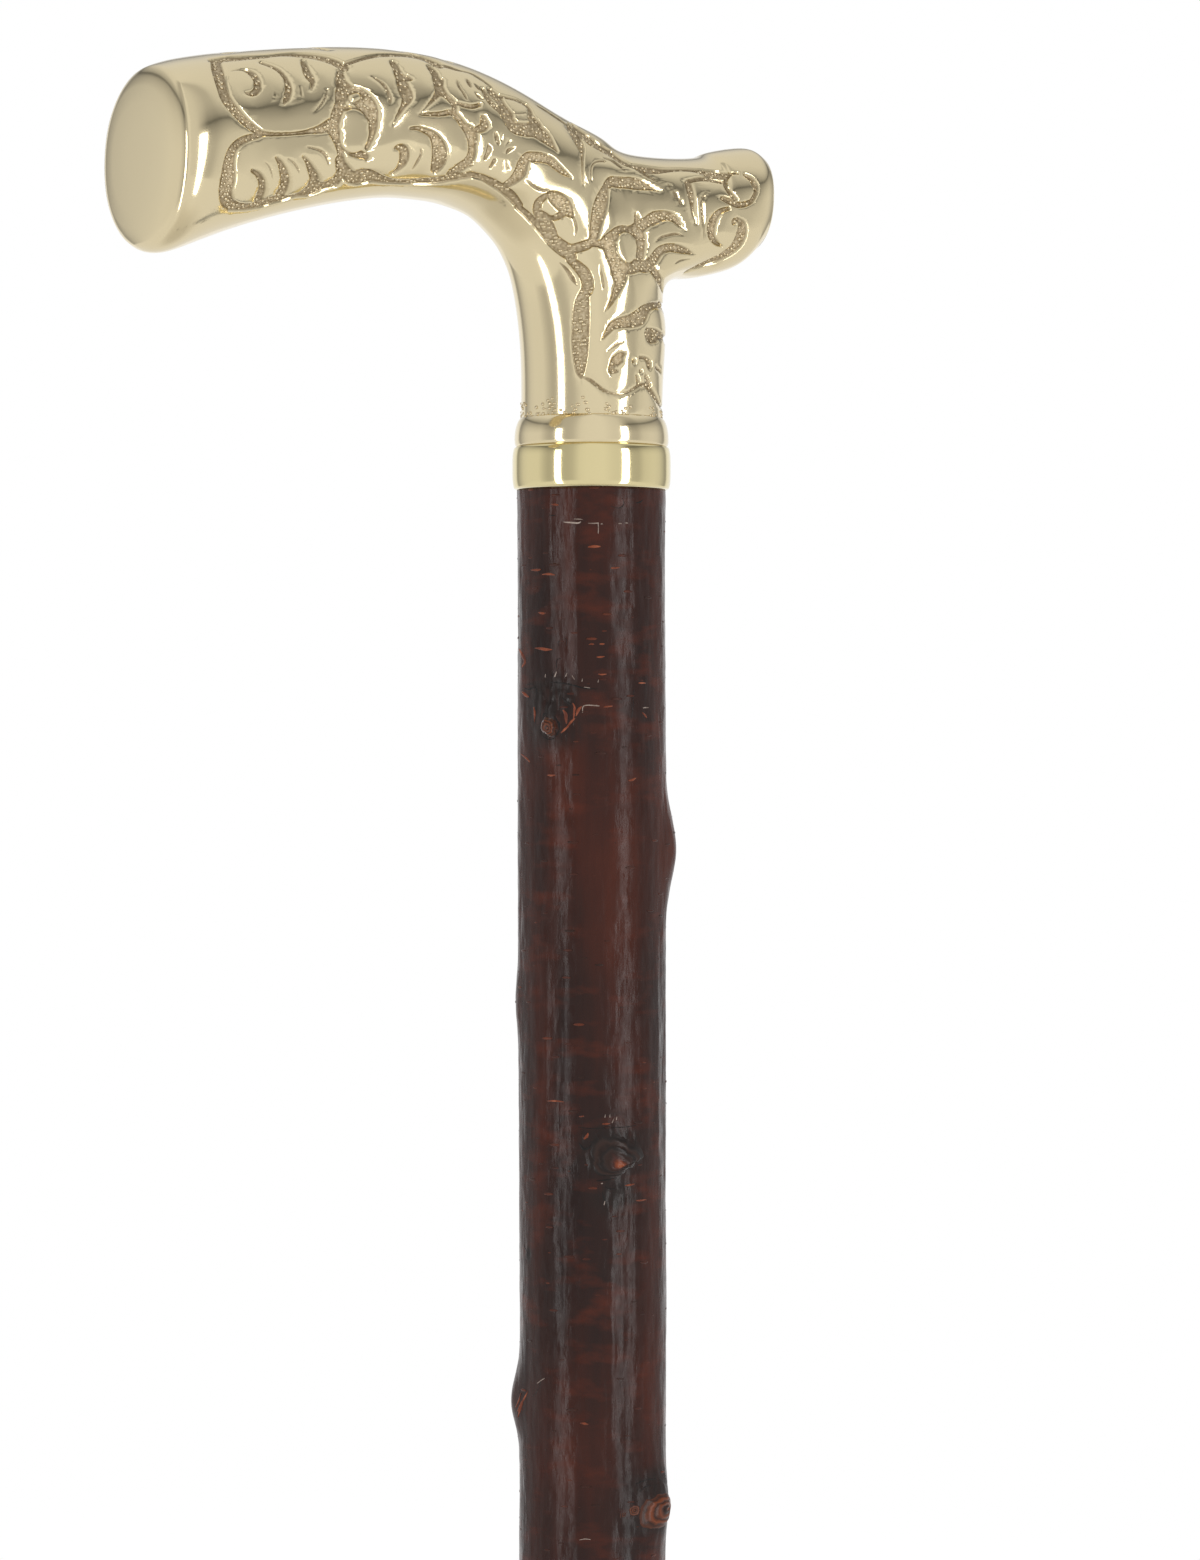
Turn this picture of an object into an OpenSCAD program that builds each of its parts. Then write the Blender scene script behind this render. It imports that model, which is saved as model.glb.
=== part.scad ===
// Walking stick: a cast brass crook handle with a nose, a brass collar band,
// a knotted blackthorn shaft with its bark on, and a push-on rubber ferrule.
// Z is up along the shaft, the ground is Z = 0, the grip reaches towards -X
// and the nose towards +X. The handle is symmetric about the plane Y = 0.

/* [Stick] */
// Height of the handle's crest above the ground
stick_len = 915; // [780:5:1000]

/* [Handle] */
// Height of the crest above the handle's seat
handle_h = 61.2; // [57:0.2:66]
// Distance from the shaft axis to the grip's end face
grip_reach = 81.8; // [74:0.2:92]
// Distance from the shaft axis to the nose's end face
nose_reach = 29.2; // [27:0.2:34]
// Diameter of the neck above the bead
neck_d = 22.8; // [21.5:0.1:24]
// Width of the grip where the hand closes round it
grip_w = 21.6; // [19:0.1:25]
// Width of the flared end of the grip
grip_end_w = 27; // [24:0.1:30]
// Width of the flared end of the nose
nose_w = 19.6; // [17:0.1:22]
// Height of the flared end of the nose
nose_h = 20.7; // [18:0.1:22]

/* [Bead and collar] */
// Height of the bead moulding cast on the neck
bead_h = 4.7; // [3.5:0.1:6]
// Largest diameter of the bead moulding
bead_d = 24.9; // [24.2:0.1:27]
// Height of the collar band
collar_h = 6.9; // [5:0.1:9]
// Largest diameter of the collar band
collar_d = 25.6; // [24.6:0.1:28]
// How far the collar band's edges are rolled in on the radius
collar_roll = 0.55; // [0.2:0.05:0.8]

/* [Shaft] */
// Diameter of the shaft just below the collar band
shaft_top_d = 24; // [23:0.1:25]
// Diameter of the shaft just above the ferrule
shaft_tip_d = 19.8; // [19.2:0.1:22]
// Diameter of the turned spigot inside the collar band
spigot_d = 22.2; // [21:0.1:22.6]
// Diameter of the turned tip inside the ferrule
tip_d = 19; // [17:0.1:19.1]
// Height of the largest knot above the bark
knot_h = 1.7; // [0.5:0.1:3]
// Half length of a knot along the shaft
knot_len = 7; // [5:0.5:10]
// Half width of a knot round the shaft
knot_w = 5; // [4:0.5:8]
// How far the shaft wanders from a straight line
shaft_wander = 0.45; // [0:0.05:1]

/* [Stud] */
// Diameter of the stud that ties the handle to the shaft
stud_d = 10; // [8:0.5:12]
// Length of the stud inside the handle
stud_in_handle = 27; // [18:1:34]
// Length of the stud below the handle's seat
stud_in_shaft = 43; // [30:1:60]
// Chamfer on the stud's ends
stud_chamfer = 1; // [0.5:0.1:1.5]

/* [Ferrule] */
// Height of the rubber ferrule
ferrule_h = 44; // [36:1:56]
// Diameter of the ferrule's foot
foot_d = 34; // [31:0.5:42]
// Height of the straight rim of the foot
foot_rim_h = 8; // [6:0.5:10]
// Wall of the ferrule's sleeve
sleeve_wall = 3.6; // [2.5:0.1:5]
// How far the lip at the sleeve's mouth stands out
lip_out = 0.8; // [0.4:0.1:1.5]
// Height of the lip at the sleeve's mouth
lip_h = 5; // [3:0.5:7]
// Thickness of rubber under the shaft's tip
pad_t = 12; // [9:0.5:16]
// Depth of the tread grooves and rim grooves
tread_depth = 1.3; // [0.8:0.1:2]
// Width of the tread grooves and rim grooves
tread_w = 1.6; // [1:0.1:2]
// Diameter of the flat disc in the middle of the tread
tread_disc_d = 10; // [6:0.5:12]
// Thickness of the washer at the bottom of the ferrule's bore
washer_t = 1.6; // [1:0.1:2.5]
// Diameter of the hole in the washer
washer_hole_d = 5; // [3:0.5:8]

/* [Fits] */
// Radial clearance of the turned fits
fit_gap = 0.05; // [0.02:0.01:0.1]
// Air left beyond each end of the stud
stud_end_gap = 0.8; // [0.3:0.1:1]

/* [Hidden] */

// Sides of the lofted rings and steps between two stations
handle_sides = 32;
handle_steps = 3;
shaft_sides = 24;
shaft_rings = 148;
$fn = 96;

// Levels along the shaft axis
seat_z = stick_len - handle_h;
collar_z = seat_z - collar_h;
neck_r = neck_d / 2;
tip_z = pad_t + washer_t;
shaft_z = ferrule_h;
shaft_len = collar_z - shaft_z;
cut_over = fit_gap;

// Grip stations from the neck up and round to the end face. Each row holds the
// under line's run and height, the crown line's run and height, the blends of
// the width towards grip and end, and the section's roundness power. Runs are
// shares of the way from neck to end face, and heights are shares of handle_h.
grip_shares = [
    [0, 0.04, 0, 0.04, 0, 0, 2],
    [0, 0.19, -0.003, 0.18, 0, 0, 2],
    [0.006, 0.29, -0.006, 0.27, 0, 0, 2],
    [0.018, 0.375, -0.01, 0.36, 0, 0, 2],
    [0.036, 0.448, -0.012, 0.45, 0, 0, 2],
    [0.056, 0.49, -0.008, 0.547, 0.1, 0, 2],
    [0.079, 0.526, 0.004, 0.64, 0.2, 0, 2.05],
    [0.11, 0.559, 0.027, 0.71, 0.3, 0, 2.1],
    [0.147, 0.587, 0.067, 0.763, 0.45, 0, 2.1],
    [0.192, 0.606, 0.121, 0.806, 0.6, 0, 2.15],
    [0.243, 0.618, 0.197, 0.858, 0.75, 0, 2.2],
    [0.293, 0.622, 0.277, 0.912, 0.9, 0, 2.2],
    [0.349, 0.623, 0.363, 0.96, 1, 0, 2.2],
    [0.407, 0.619, 0.454, 0.99, 1, 0, 2.2],
    [0.485, 0.605, 0.556, 1, 1, 0, 2.2],
    [0.577, 0.583, 0.658, 0.993, 1, 0.04, 2.25],
    [0.677, 0.553, 0.755, 0.977, 1, 0.15, 2.3],
    [0.776, 0.518, 0.841, 0.96, 1, 0.32, 2.35],
    [0.861, 0.482, 0.911, 0.942, 1, 0.56, 2.4],
    [0.922, 0.455, 0.953, 0.929, 1, 0.85, 2.45],
    [0.973, 0.441, 0.979, 0.918, 1, 1, 2.5],
    [0.997, 0.457, 0.994, 0.902, 1, 0.8, 2.5]
];

// Nose stations from the end face back into the bend: the run as a share of
// nose_reach, the middle's height as a share of handle_h, the half height and
// half width as shares of the flared end's, and how far the ring leans out at
// its top as a share of its half height.
nose_shares = [
    [1, 0.661, 0.9, 0.92, 0.05],
    [0.955, 0.658, 0.99, 1, 0.05],
    [0.87, 0.649, 1, 0.97, 0.05],
    [0.75, 0.636, 0.98, 0.92, 0.03],
    [0.64, 0.624, 0.955, 0.885, 0.02],
    [0.56, 0.615, 0.955, 0.875, 0],
    [0.475, 0.599, 1.04, 0.87, 0],
    [0.4, 0.577, 1.17, 0.86, 0],
    [0.24, 0.61, 0.93, 0.84, 0],
    [0, 0.615, 0.85, 0.76, 0]
];

// Bead profile from the seat up: radius from neck to bead, height in bead_h
bead_shares = [[0.74, 0], [0.93, 0.09], [1, 0.24], [0.96, 0.45], [0.78, 0.68], [0.45, 0.88], [0, 1]];

// Knots in view below the collar: distance as a share of the shaft, bearing in
// degrees from -Y towards +X, and height as a share of knot_h
knot_shares = [
    [0.047, -65, 0.55], [0.072, 57, 1], [0.103, -123, 0.3],
    [0.134, -16, 0.5], [0.183, -123, 0.85], [0.203, 30, 0.8],
    [0.035, 150, 0.5], [0.16, 165, 0.7]
];

// Knots further down sit like buds on a twig, each a fixed turn after the last,
// with heights that swing about a mean
low_knots = 15;
low_knot_share = 0.25;
low_knot_step_share = 0.047;
low_knot_height_share = 0.6;
low_knot_swing_share = 0.3;
low_knot_bearing = -60;
bud_turn = 137.5;
swing_turn = 97;
low_knot_shares = [
    for (i = [0 : low_knots - 1])
        [
            low_knot_share + i * low_knot_step_share,
            low_knot_bearing + i * bud_turn,
            low_knot_height_share + low_knot_swing_share * sin(swing_turn * i)
        ]
];
all_knots = concat(knot_shares, low_knot_shares);

// How the taper starts slowly below the collar
taper_power = 1.4;

// Waves of the wandering axis along the whole shaft
wander_turns = 2.3;

// Foot chamfer, bell and groove places
foot_chamfer_share = 0.08;
bell_share = 0.42;
rim_groove_shares = [0.4, 0.8];
tread_groove_shares = [0.42, 0.66, 0.88];

// Value of a number raised to a power with its sign kept
function signed_pow(v, p) = sign(v) * pow(abs(v), p);

// Catmull-Rom blend of four rows of numbers
function blend_rows(a, b, c, d, t) =
    (2 * b + (c - a) * t + (2 * a - 5 * b + 4 * c - d) * t * t + (3 * b - a - 3 * c + d) * t * t * t) / 2;

// Rows with extra steps between the given ones, on a smooth curve
function smooth_rows(rows, steps) = let (last = len(rows) - 1) [
    for (i = [0 : last - 1])
        for (k = [0 : steps - 1])
            blend_rows(rows[max(i - 1, 0)], rows[i], rows[i + 1], rows[min(i + 2, last)], k / steps),
    rows[last]
];

// Ring of points in a plane square to Y = 0, from an under point to a crown point
function ring(under, crown, half_w, power, sides) =
    let (mid = (under + crown) / 2, half = (crown - under) / 2) [
        for (i = [0 : sides - 1])
            let (turn = 360 * i / sides)
            let (up = signed_pow(sin(turn), 2 / power))
            let (out = signed_pow(cos(turn), 2 / power))
                [mid.x + half.x * up, half_w * out, mid.y + half.y * up]
    ];

// Grip ring for one row of grip_shares
function grip_ring(row) =
    let (under = [-neck_r - row[0] * (grip_reach - neck_r), row[1] * handle_h])
    let (crown = [neck_r - row[2] * (grip_reach + neck_r), row[3] * handle_h])
    let (hand_w = neck_r + row[4] * (grip_w / 2 - neck_r))
    let (half_w = hand_w + row[5] * (grip_end_w / 2 - hand_w))
        ring(under, crown, half_w, row[6], handle_sides);

// Nose ring for one row of nose_shares
function nose_ring(row) =
    let (mid = [row[0] * nose_reach, row[1] * handle_h], half_h = row[2] * nose_h / 2)
    let (half = [row[4] * half_h, half_h])
        ring(mid - half, mid + half, row[3] * nose_w / 2, 2, handle_sides);

// Solid skin over a stack of rings, closed at both ends
module loft(rings) {
    sides = len(rings[0]);
    last = len(rings) - 1;
    points = [for (r = rings) each r];
    walls = [
        for (r = [0 : last - 1])
            for (i = [0 : sides - 1])
                let (a = r * sides + i, b = r * sides + (i + 1) % sides)
                    each [[a, b, b + sides], [a, b + sides, a + sides]]
    ];
    first_cap = [for (i = [1 : sides - 2]) [0, i + 1, i]];
    last_cap = [for (i = [1 : sides - 2]) [last * sides, last * sides + i, last * sides + i + 1]];
    polyhedron(points, concat(walls, first_cap, last_cap));
}

// Radius of the bark at a share below the collar and a bearing, knots included
function bark_r(down_share, bearing) =
    let (taper = pow(down_share, taper_power))
    let (plain = shaft_top_d / 2 + taper * (shaft_tip_d - shaft_top_d) / 2)
        plain + max([for (k = all_knots) knot_rise(k, down_share, bearing, plain)]);

// Height that one knot adds at a share below the collar and a bearing
function knot_rise(knot, down_share, bearing, radius) =
    let (along = (down_share - knot[0]) * shaft_len / knot_len)
    let (turn = bearing - knot[1] - 360 * round((bearing - knot[1]) / 360))
    let (around = turn * PI / 180 * radius / knot_w)
        knot_h * knot[2] * exp(-2 * (along * along + around * around));

// Ring of the shaft at a share below the collar
function bark_ring(down_share) =
    let (z = collar_z - down_share * shaft_len)
    let (sway = shaft_wander * sin(180 * down_share))
    let (shift_x = sway * sin(360 * wander_turns * down_share))
    let (shift_y = sway * cos(360 * wander_turns * down_share))
        [
            for (i = [0 : shaft_sides - 1])
                let (bearing = 360 * i / shaft_sides)
                let (r = bark_r(down_share, bearing))
                    [shift_x + r * sin(bearing), shift_y - r * cos(bearing), z]
        ];

// Cast brass handle: neck, bend and grip in one loft, the nose in another, the
// bead moulding turned round the neck's foot, and a blind socket for the stud
module handle() {
    color("#d2c29a")
    translate([0, 0, seat_z])
    difference() {
        union() {
            loft([for (row = smooth_rows(grip_shares, handle_steps)) grip_ring(row)]);
            loft([for (row = smooth_rows(nose_shares, handle_steps)) nose_ring(row)]);
            bead();
        }
        translate([0, 0, -cut_over])
        cylinder(d = stud_d + 2 * fit_gap, h = stud_in_handle + stud_end_gap + cut_over);
    }
}

// Bead moulding round the foot of the neck
module bead() {
    bead_out = bead_d / 2 - neck_r;
    rotate_extrude()
    polygon(concat([[0, 0]], [for (p = bead_shares) [neck_r + p.x * bead_out, p.y * bead_h]], [[0, bead_h]]));
}

// Barrel-shaped brass band round the shaft's spigot
module collar_band() {
    steps = 12;
    bore_r = spigot_d / 2 + fit_gap;
    wall = [
        for (i = [0 : steps])
            let (s = 2 * i / steps - 1)
                [collar_d / 2 - collar_roll * pow(s, 4), i / steps * collar_h]
    ];
    color("#cdbb85")
    translate([0, 0, collar_z])
    rotate_extrude()
    polygon(concat([[bore_r, 0]], wall, [[bore_r, collar_h]]));
}

// Steel stud with chamfered ends, half in the handle and half in the shaft
module stud() {
    stud_r = stud_d / 2;
    low = -stud_in_shaft;
    high = stud_in_handle;
    color("#9a9c9e")
    translate([0, 0, seat_z])
    rotate_extrude()
    polygon([
        [0, low], [stud_r - stud_chamfer, low], [stud_r, low + stud_chamfer],
        [stud_r, high - stud_chamfer], [stud_r - stud_chamfer, high], [0, high]
    ]);
}

// Blackthorn shaft with its knots, turned down at the top for the collar band
// and at the tip for the ferrule, and bored for the stud
module shaft() {
    stud_hole = stud_in_shaft + stud_end_gap;
    color("#3d2a27")
    difference() {
        union() {
            loft([for (i = [0 : shaft_rings]) bark_ring(i / shaft_rings)]);
            translate([0, 0, collar_z - stud_in_shaft])
            cylinder(d = spigot_d, h = stud_in_shaft + collar_h);
            translate([0, 0, tip_z])
            cylinder(d = tip_d, h = 2 * ferrule_h - tip_z);
        }
        translate([0, 0, seat_z - stud_hole])
        cylinder(d = stud_d + 2 * fit_gap, h = stud_hole + cut_over);
    }
}

// Outside of the ferrule as half a section, from the foot up to the mouth
function ferrule_outline() =
    let (foot_r = foot_d / 2, sleeve_r = tip_d / 2 + fit_gap + sleeve_wall)
    let (chamfer = foot_chamfer_share * foot_r, bell_h = bell_share * ferrule_h - foot_rim_h)
    let (steps = 10, lip_z = ferrule_h - lip_h)
        concat(
            [[0, 0], [foot_r - chamfer, 0], [foot_r, chamfer]],
            [
                for (i = [0 : steps])
                    let (turn = 90 * i / steps)
                        [foot_r - (foot_r - sleeve_r) * sin(turn), foot_rim_h + bell_h * (1 - cos(turn))]
            ],
            [[sleeve_r, lip_z]],
            [
                for (i = [1 : steps - 1])
                    let (turn = 180 * i / steps)
                        [sleeve_r + lip_out * sin(turn), lip_z + lip_h * (1 - cos(turn)) / 2]
            ],
            [[sleeve_r, ferrule_h], [0, ferrule_h]]
        );

// Ring-shaped cutter with a square section
module groove(inner_r, outer_r, low, height) {
    rotate_extrude()
    translate([inner_r, low])
    square([outer_r - inner_r, height]);
}

// Rubber ferrule: bell-shaped foot, sleeve with a lip, blind bore, tread rings
module ferrule() {
    foot_r = foot_d / 2;
    disc_r = tread_disc_d / 2;
    color("#232323")
    difference() {
        rotate_extrude()
        polygon(ferrule_outline());
        translate([0, 0, pad_t])
        cylinder(r = tip_d / 2 + fit_gap, h = ferrule_h - pad_t + cut_over);
        for (s = tread_groove_shares)
            groove(disc_r + s * (foot_r - disc_r) - tread_w, disc_r + s * (foot_r - disc_r),
                -cut_over, tread_depth + cut_over);
        for (s = rim_groove_shares)
            groove(foot_r - tread_depth / 2, foot_r + tread_depth, s * foot_rim_h - tread_w / 2, tread_w / 2);
    }
}

// Steel washer that keeps the shaft's tip from punching through the rubber
module ferrule_washer() {
    color("#a8aaac")
    translate([0, 0, pad_t])
    difference() {
        cylinder(d = tip_d, h = washer_t);
        translate([0, 0, -cut_over])
        cylinder(d = washer_hole_d, h = washer_t + 2 * cut_over);
    }
}

handle();
collar_band();
stud();
shaft();
ferrule();
ferrule_washer();
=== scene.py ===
# %% [markdown]
# # A knotted walking stick with a cast brass handle
# The imported CAD model is the frame: it fixes every size and place. This lesson dresses
# it piece by piece. The handle is modelled as a subdivision surface with carved relief,
# the bark as a sculpted tube, and the turned pieces as profiles swept round the axis.

# %% Load the frame
import math

import bpy
import numpy as np
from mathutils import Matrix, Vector, noise
from mathutils.bvhtree import BVHTree


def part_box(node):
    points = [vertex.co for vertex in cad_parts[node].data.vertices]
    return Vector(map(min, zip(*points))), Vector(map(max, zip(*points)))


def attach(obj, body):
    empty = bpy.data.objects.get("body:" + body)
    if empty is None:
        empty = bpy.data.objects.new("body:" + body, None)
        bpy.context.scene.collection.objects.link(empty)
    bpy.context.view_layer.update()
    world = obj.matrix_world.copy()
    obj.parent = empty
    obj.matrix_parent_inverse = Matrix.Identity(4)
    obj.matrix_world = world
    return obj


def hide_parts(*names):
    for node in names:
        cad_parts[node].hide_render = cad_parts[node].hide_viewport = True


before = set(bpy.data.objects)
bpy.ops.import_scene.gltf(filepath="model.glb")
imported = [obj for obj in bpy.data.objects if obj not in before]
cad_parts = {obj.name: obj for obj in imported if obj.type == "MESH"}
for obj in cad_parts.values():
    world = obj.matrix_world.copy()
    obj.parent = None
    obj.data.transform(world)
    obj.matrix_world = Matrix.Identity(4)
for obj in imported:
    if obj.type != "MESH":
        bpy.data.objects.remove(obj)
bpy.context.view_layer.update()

MM = 0.001

# %% [markdown]
# ## Sizes
# Lengths are in millimetres and are turned to metres only when a mesh is made. What the
# frame knows comes from the frame; the rest are the stick's own named sizes.

# %% Sizes taken from the frame


def node_box(node):
    """Lowest and highest corner of a CAD node, in millimetres."""
    low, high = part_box(node)
    return np.array(low) / MM, np.array(high) / MM


HANDLE_LOW, HANDLE_HIGH = node_box("handle")
SEAT_Z = HANDLE_LOW[2]
HANDLE_H = HANDLE_HIGH[2] - SEAT_Z
GRIP_REACH = -HANDLE_LOW[0]
NOSE_REACH = HANDLE_HIGH[0]
GRIP_END_W = HANDLE_HIGH[1] - HANDLE_LOW[1]
NECK_D = 22.8
GRIP_W = 21.6
NOSE_W = 19.6
NOSE_H = 20.7
NOSE_POWER = 2.25

BEAD_H = 4.7
BEAD_D = 24.9
COLLAR_LOW, COLLAR_HIGH = node_box("collar_band")
COLLAR_D = COLLAR_HIGH[0] - COLLAR_LOW[0]
COLLAR_Z = COLLAR_LOW[2]
print("handle height", round(HANDLE_H, 1), "reach", round(GRIP_REACH, 1), "collar", round(COLLAR_D, 1))

# %% [markdown]
# ## The photograph's camera
# The camera comes early, because the carving is laid out on the photograph and
# each of its points is then sent through this camera onto the brass. A camera could be
# lined up by hand in the viewport. This one was worked out from the handle's outline and
# the collar's curve, because a small error would shift every leaf: a long lens, less than
# a metre from the stick.

# %% Camera
IMAGE_W, IMAGE_H = 1200, 1560
CAM_TURN = math.radians(33)
# distance from the shaft's axis, drop below the collar's lower edge and shift to the right, in millimetres
CAM_DIST = 840
CAM_DROP = 46.85
CAM_SIDE = 1.37
CAM_LENS = 120
CAM_SENSOR = 36
FOCAL_PX = IMAGE_H * CAM_LENS / CAM_SENSOR
CAM_AHEAD = np.array([math.sin(CAM_TURN), math.cos(CAM_TURN), 0])
CAM_RIGHT = np.array([math.cos(CAM_TURN), -math.sin(CAM_TURN), 0])
CAM_UP = np.array([0, 0, 1.0])
CAM_AT = CAM_SIDE * CAM_RIGHT - CAM_DIST * CAM_AHEAD + (COLLAR_Z - CAM_DROP) * CAM_UP

camera_data = bpy.data.cameras.new("photo_camera")
camera_data.lens = CAM_LENS
camera_data.sensor_width = CAM_SENSOR
camera_data.clip_start, camera_data.clip_end = 0.01, 50
camera = bpy.data.objects.new("photo_camera", camera_data)
camera.location = Vector(CAM_AT * MM)
camera.rotation_euler = Vector(CAM_AHEAD).to_track_quat("-Z", "Y").to_euler()
bpy.context.scene.collection.objects.link(camera)
bpy.context.scene.camera = camera


def photo_ray(x, y):
    """Direction of the sight line through a pixel of the photograph."""
    across, up = (x - IMAGE_W / 2) / FOCAL_PX, (IMAGE_H / 2 - y) / FOCAL_PX
    return CAM_AHEAD + across * CAM_RIGHT + up * CAM_UP


print("camera stands at", np.round(CAM_AT, 1), "mm")

# %% [markdown]
# ## Small helpers
# One function adds a node with its settings and links, one turns a hex colour to linear
# light, and the others turn lists of points into named pieces that ride on the frame.
# A modifier is worked into a new plain mesh at once, so no piece carries a live one.

# %% Helpers for materials
HEX_CHANNEL = 255
SRGB_KNEE, SRGB_SLOPE, SRGB_OFFSET, SRGB_POWER = 0.04045, 12.92, 0.055, 2.4


def linear(hex_colour):
    """An sRGB hex colour as linear RGBA."""
    out = []
    for i in (1, 3, 5):
        c = int(hex_colour[i : i + 2], 16) / HEX_CHANNEL
        low = c / SRGB_SLOPE
        high = ((c + SRGB_OFFSET) / (1 + SRGB_OFFSET)) ** SRGB_POWER
        out.append(low if c <= SRGB_KNEE else high)
    return (*out, 1.0)


def feed(tree, node, **inputs):
    """Sets inputs by name, or by number as i0, i1 and so on; an output socket is linked instead."""
    for key, value in inputs.items():
        slot = int(key[1:]) if key[0] == "i" and key[1:].isdigit() else key.replace("_", " ")
        socket = node.inputs[slot]
        if isinstance(value, bpy.types.NodeSocket):
            tree.links.new(value, socket)
        else:
            socket.default_value = value


def add(tree, kind, settings=(), **inputs):
    """Adds a node; settings are its properties, and a ramp's stops are (place, hex colour or level)."""
    node = tree.nodes.new(kind)
    for key, value in dict(settings).items():
        if key == "stops":
            band = node.color_ramp.elements
            for _ in value[2:]:
                band.new(1.0)
            for element, (spot, colour) in zip(band, value):
                element.position = spot
                element.color = linear(colour) if isinstance(colour, str) else (colour, colour, colour, 1)
        else:
            setattr(node, key, value)
    feed(tree, node, **inputs)
    return node


def new_material(name):
    """A material, its node tree, its Principled shader and the Object coordinates of its piece."""
    material = bpy.data.materials.new(name)
    material.use_nodes = True
    tree = material.node_tree
    spot = add(tree, "ShaderNodeTexCoord").outputs["Object"]
    return material, tree, tree.nodes["Principled BSDF"], spot


# %% Helpers for pieces


def make_mesh(name, points, faces):
    """A mesh in metres from points in millimetres, shaded smooth."""
    mesh = bpy.data.meshes.new(name)
    mesh.from_pydata((np.asarray(points) * MM).tolist(), [], faces)
    mesh.shade_smooth()
    mesh.update()
    return mesh


def place(name, mesh, material, node):
    """Links a finished mesh as a piece that stands for a CAD node."""
    piece = bpy.data.objects.new(name, mesh)
    bpy.context.scene.collection.objects.link(piece)
    mesh.materials.clear()
    mesh.materials.append(material)
    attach(piece, "root")
    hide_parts(node)
    print(name, "faces", len(mesh.polygons))
    return piece


def read(items, key, width):
    """One property of all points or corners of a mesh, as rows of an array."""
    out = np.empty(len(items) * width)
    items.foreach_get(key, out)
    return out.reshape(-1, width)


def store(mesh, name, values):
    """Keeps a number on each point of a mesh, for a material or a node tree to read."""
    mesh.attributes.new(name, "FLOAT", "POINT").data.foreach_set("value", values)


def finished(mesh, kind, **settings):
    """A new plain mesh: the given one with one modifier worked in."""
    carrier = bpy.data.objects.new("carrier", mesh)
    bpy.context.scene.collection.objects.link(carrier)
    modifier = carrier.modifiers.new("finish", kind)
    for key, value in settings.items():
        if key == "inputs":
            for item in modifier.node_group.interface.items_tree:
                if item.in_out == "INPUT" and item.name in value:
                    modifier[item.identifier] = value[item.name]
        else:
            setattr(modifier, key, value)
    evaluated = carrier.evaluated_get(bpy.context.evaluated_depsgraph_get())
    result = bpy.data.meshes.new_from_object(evaluated)
    bpy.data.objects.remove(carrier)
    return result


def catmull(rows, t):
    """The row at station t of a Catmull-Rom curve through the rows."""
    i = min(int(t), len(rows) - 2)
    u = t - i
    a, b = rows[max(i - 1, 0)], rows[i]
    c, d = rows[i + 1], rows[min(i + 2, len(rows) - 1)]
    line = 2 * b + (c - a) * u
    return (line + (2 * a - 5 * b + 4 * c - d) * u**2 + (3 * b - a - 3 * c + d) * u**3) / 2


def tube(rings, sides, first=0):
    """Faces of a closed tube whose rings of points run anticlockwise and are numbered from the top down."""
    faces = []
    last = first + (rings - 1) * sides
    for a in range(first, last, sides):
        b = a + sides
        faces += [[a + k, b + k, b + (k + 1) % sides, a + (k + 1) % sides] for k in range(sides)]
    return faces + [list(range(first, first + sides)), list(range(last, last + sides))[::-1]]


def lathe(name, profile, sides=128):
    """A turned piece: (radius, height) points from the bottom up, closed at both ends."""
    turns = np.arange(sides) * 2 * math.pi / sides
    points = [[r * math.cos(t), r * math.sin(t), z] for r, z in profile[::-1] for t in turns]
    return make_mesh(name, points, tube(len(profile), sides))


# %% [markdown]
# ## Handle: the plain form
# The brass crook grows out of the neck, swells into the grip and has a short nose behind.
# Stations along the crook give its under and crown lines, width and squareness, as in
# the CAD model. The form could be sculpted, or two tubes joined by a boolean, but then the
# join would show in the polish. Here the stations' rings make a coarse cage of quads, and
# a window in it is bridged to the nose, so one smooth skin covers both. The cage is then
# moved until the subdivided surface passes through the stations instead of shrinking
# inside them.

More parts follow.
